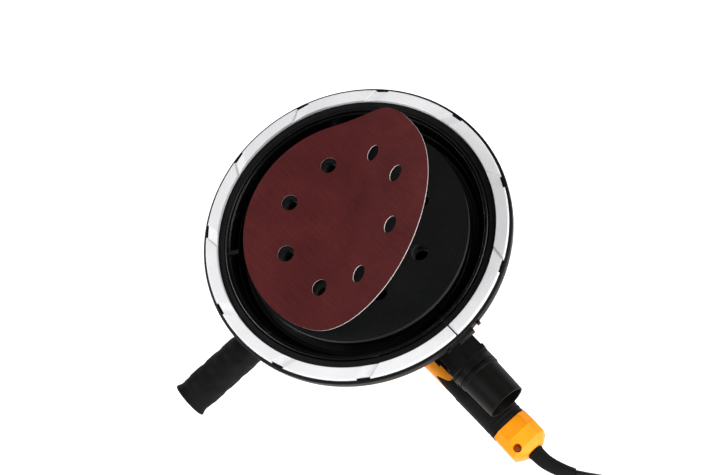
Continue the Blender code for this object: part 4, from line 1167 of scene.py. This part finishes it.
# ---------------------------------------------------------------- cord
CORD_RADIUS = 0.004
COIL_X, COIL_Y = 0.322, -0.004
RELIEF = (
    (0.2043, -0.0110, 0.0600), (0.2140, -0.0105, 0.0600), (0.2220, -0.0083, 0.0594),
    (0.2295, -0.0050, 0.0582), (0.2365, -0.0010, 0.0565),
)
LEAD = (
    (0.2371, -0.0006, 0.0563), (0.2435, 0.0045, 0.0535), (0.2505, 0.0112, 0.0470), (0.2560, 0.0172, 0.0370),
    (0.2605, 0.0225, 0.0250), (0.2655, 0.0280, 0.0140), (0.2728, 0.0355, 0.0070), (0.2818, 0.0441, 0.0042),
)
TAIL = (
    (0.3120, -0.0664, 0.0042), (0.3000, -0.0668, 0.0046), (0.2900, -0.0668, 0.0066),
    (0.2840, -0.0668, 0.0078), (0.2783, -0.0668, 0.0078),
)


def smooth(points, between):
    """Points on a Catmull-Rom curve through the given ones, with so many steps between two."""
    line = [Vector(point) for point in points]
    line = [2 * line[0] - line[1], *line, 2 * line[-1] - line[-2]]
    route = []
    for a, b, c, d in zip(line, line[1:], line[2:], line[3:]):
        for i in range(between):
            t = i / between
            square = (2 * a - 5 * b + 4 * c - d) * t**2
            cube = (3 * b - a - 3 * c + d) * t**3
            route.append((2 * b + (c - a) * t + square + cube) / 2)
    route.append(line[-2])
    return route


def coil_points():
    """Nearly ten turns, clockwise in four nested layers, then out over the side and down to the floor."""
    stages = (
        (0.00, 0.0627, 0.0042), (0.14, 0.0540, 0.0042), (1.00, 0.0540, 0.0042), (1.14, 0.0460, 0.0042),
        (2.00, 0.0460, 0.0042), (2.14, 0.0380, 0.0042), (2.92, 0.0380, 0.0042), (3.02, 0.0380, 0.0112),
        (3.16, 0.0420, 0.0112), (4.02, 0.0420, 0.0112), (4.16, 0.0500, 0.0112), (4.96, 0.0500, 0.0112),
        (5.08, 0.0535, 0.0181), (5.98, 0.0540, 0.0181), (6.12, 0.0460, 0.0181), (6.98, 0.0460, 0.0181),
        (7.12, 0.0380, 0.0181), (7.92, 0.0380, 0.0181), (8.02, 0.0385, 0.0250), (8.16, 0.0420, 0.0255),
        (9.00, 0.0425, 0.0262), (9.14, 0.0500, 0.0262), (9.40, 0.0510, 0.0262), (9.50, 0.0615, 0.0240),
        (9.565, 0.0632, 0.0110), (9.620, 0.0634, 0.0046), (9.636, 0.0632, 0.0042),
    )
    start = math.radians(130)
    points = []
    steps = 28
    for (a, radius_a, level_a), (b, radius_b, level_b) in zip(stages, stages[1:]):
        count = max(2, round((b - a) * steps))
        for i in range(count):
            t = i / count
            blend = wave(0, 1, t)
            radius = radius_a + (radius_b - radius_a) * blend
            level = level_a + (level_b - level_a) * blend
            angle = start - TURN * (a + (b - a) * t)
            x, y = COIL_X + radius * math.cos(angle), COIL_Y + radius * math.sin(angle)
            points.append(Vector((x, y, level)))
    return points


def length_of(points):
    return sum((b - a).length for a, b in zip(points, points[1:]))


def cord():
    """Mains lead: tapered sleeve with a small collar where it leaves the cap, 8 mm cord, the spare wound in
    a coil, and its plug.
    """
    route = smooth(RELIEF, 12)
    total = length_of(route)
    radii = []
    run = 0.0
    for i, point in enumerate(route):
        run += (point - route[i - 1]).length if i else 0
        taper = 0.0064 - 0.0015 * run / total
        radii.append(taper + 0.0004 * wave(0.0028, 0.0014, run) - 0.0008 * wave(0.0009, 0.0, run))
    sleeve = piece("strain_relief", tube_mesh(route, radii, 40), SOFT, 50)

    line = smooth(LEAD, 3)[:-1] + smooth([*coil_points()[::2], *TAIL], 2)
    radii = [CORD_RADIUS] * len(line)
    mesh = tube_mesh(line, radii, 14)
    lead = piece("power_cord", mesh, SHEATH, 50, also=("cord_coil", "cord_tail"))

    low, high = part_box("plug_body")
    place = (low + high) / 2
    stations = (
        (0.0000, 0.0046, 1.0), (0.0008, 0.0052, 1.0), (0.0060, 0.0058, 1.0), (0.0095, 0.0064, 1.0),
        (0.0140, 0.0098, 0.90), (0.0185, 0.0119, 0.78), (0.0230, 0.0124, 0.64), (0.0330, 0.0124, 0.60),
        (0.0375, 0.0121, 0.60), (0.0394, 0.0110, 0.60), (0.0400, 0.0098, 0.60),
    )
    rings = []
    for run, radius, flat in stations:
        height = min(radius * flat, 0.0074)
        rings.append([(high.x - run, place.y + radius * a, place.z + height * b) for a, b in circle(1)])
    going = [sleeve, piece("plug_body", skin(rings), SHEATH, 45)]
    for suffix in ("left", "right"):
        name = f"plug_pin_{suffix}"
        start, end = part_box(name)
        centre = (start + end) / 2
        profile = rounded([(0, start.x), (0.0020, start.x, 0.0010), (0.0020, end.x), (0, end.x)])
        pin = lathe(profile, 32, (centre.y, centre.z), "X", False)
        going.append(piece(name, pin, BRASS, 40))


camera()
studio()
cord()
skid_ring()
skirt_ring()
inner_shroud()
head_shell()
screws()
pad()
abrasive_disc()
motor_tower()
inside()
skirt_springs()
handle()
controls()
end_cap()
dust_outlet()
side_handle()
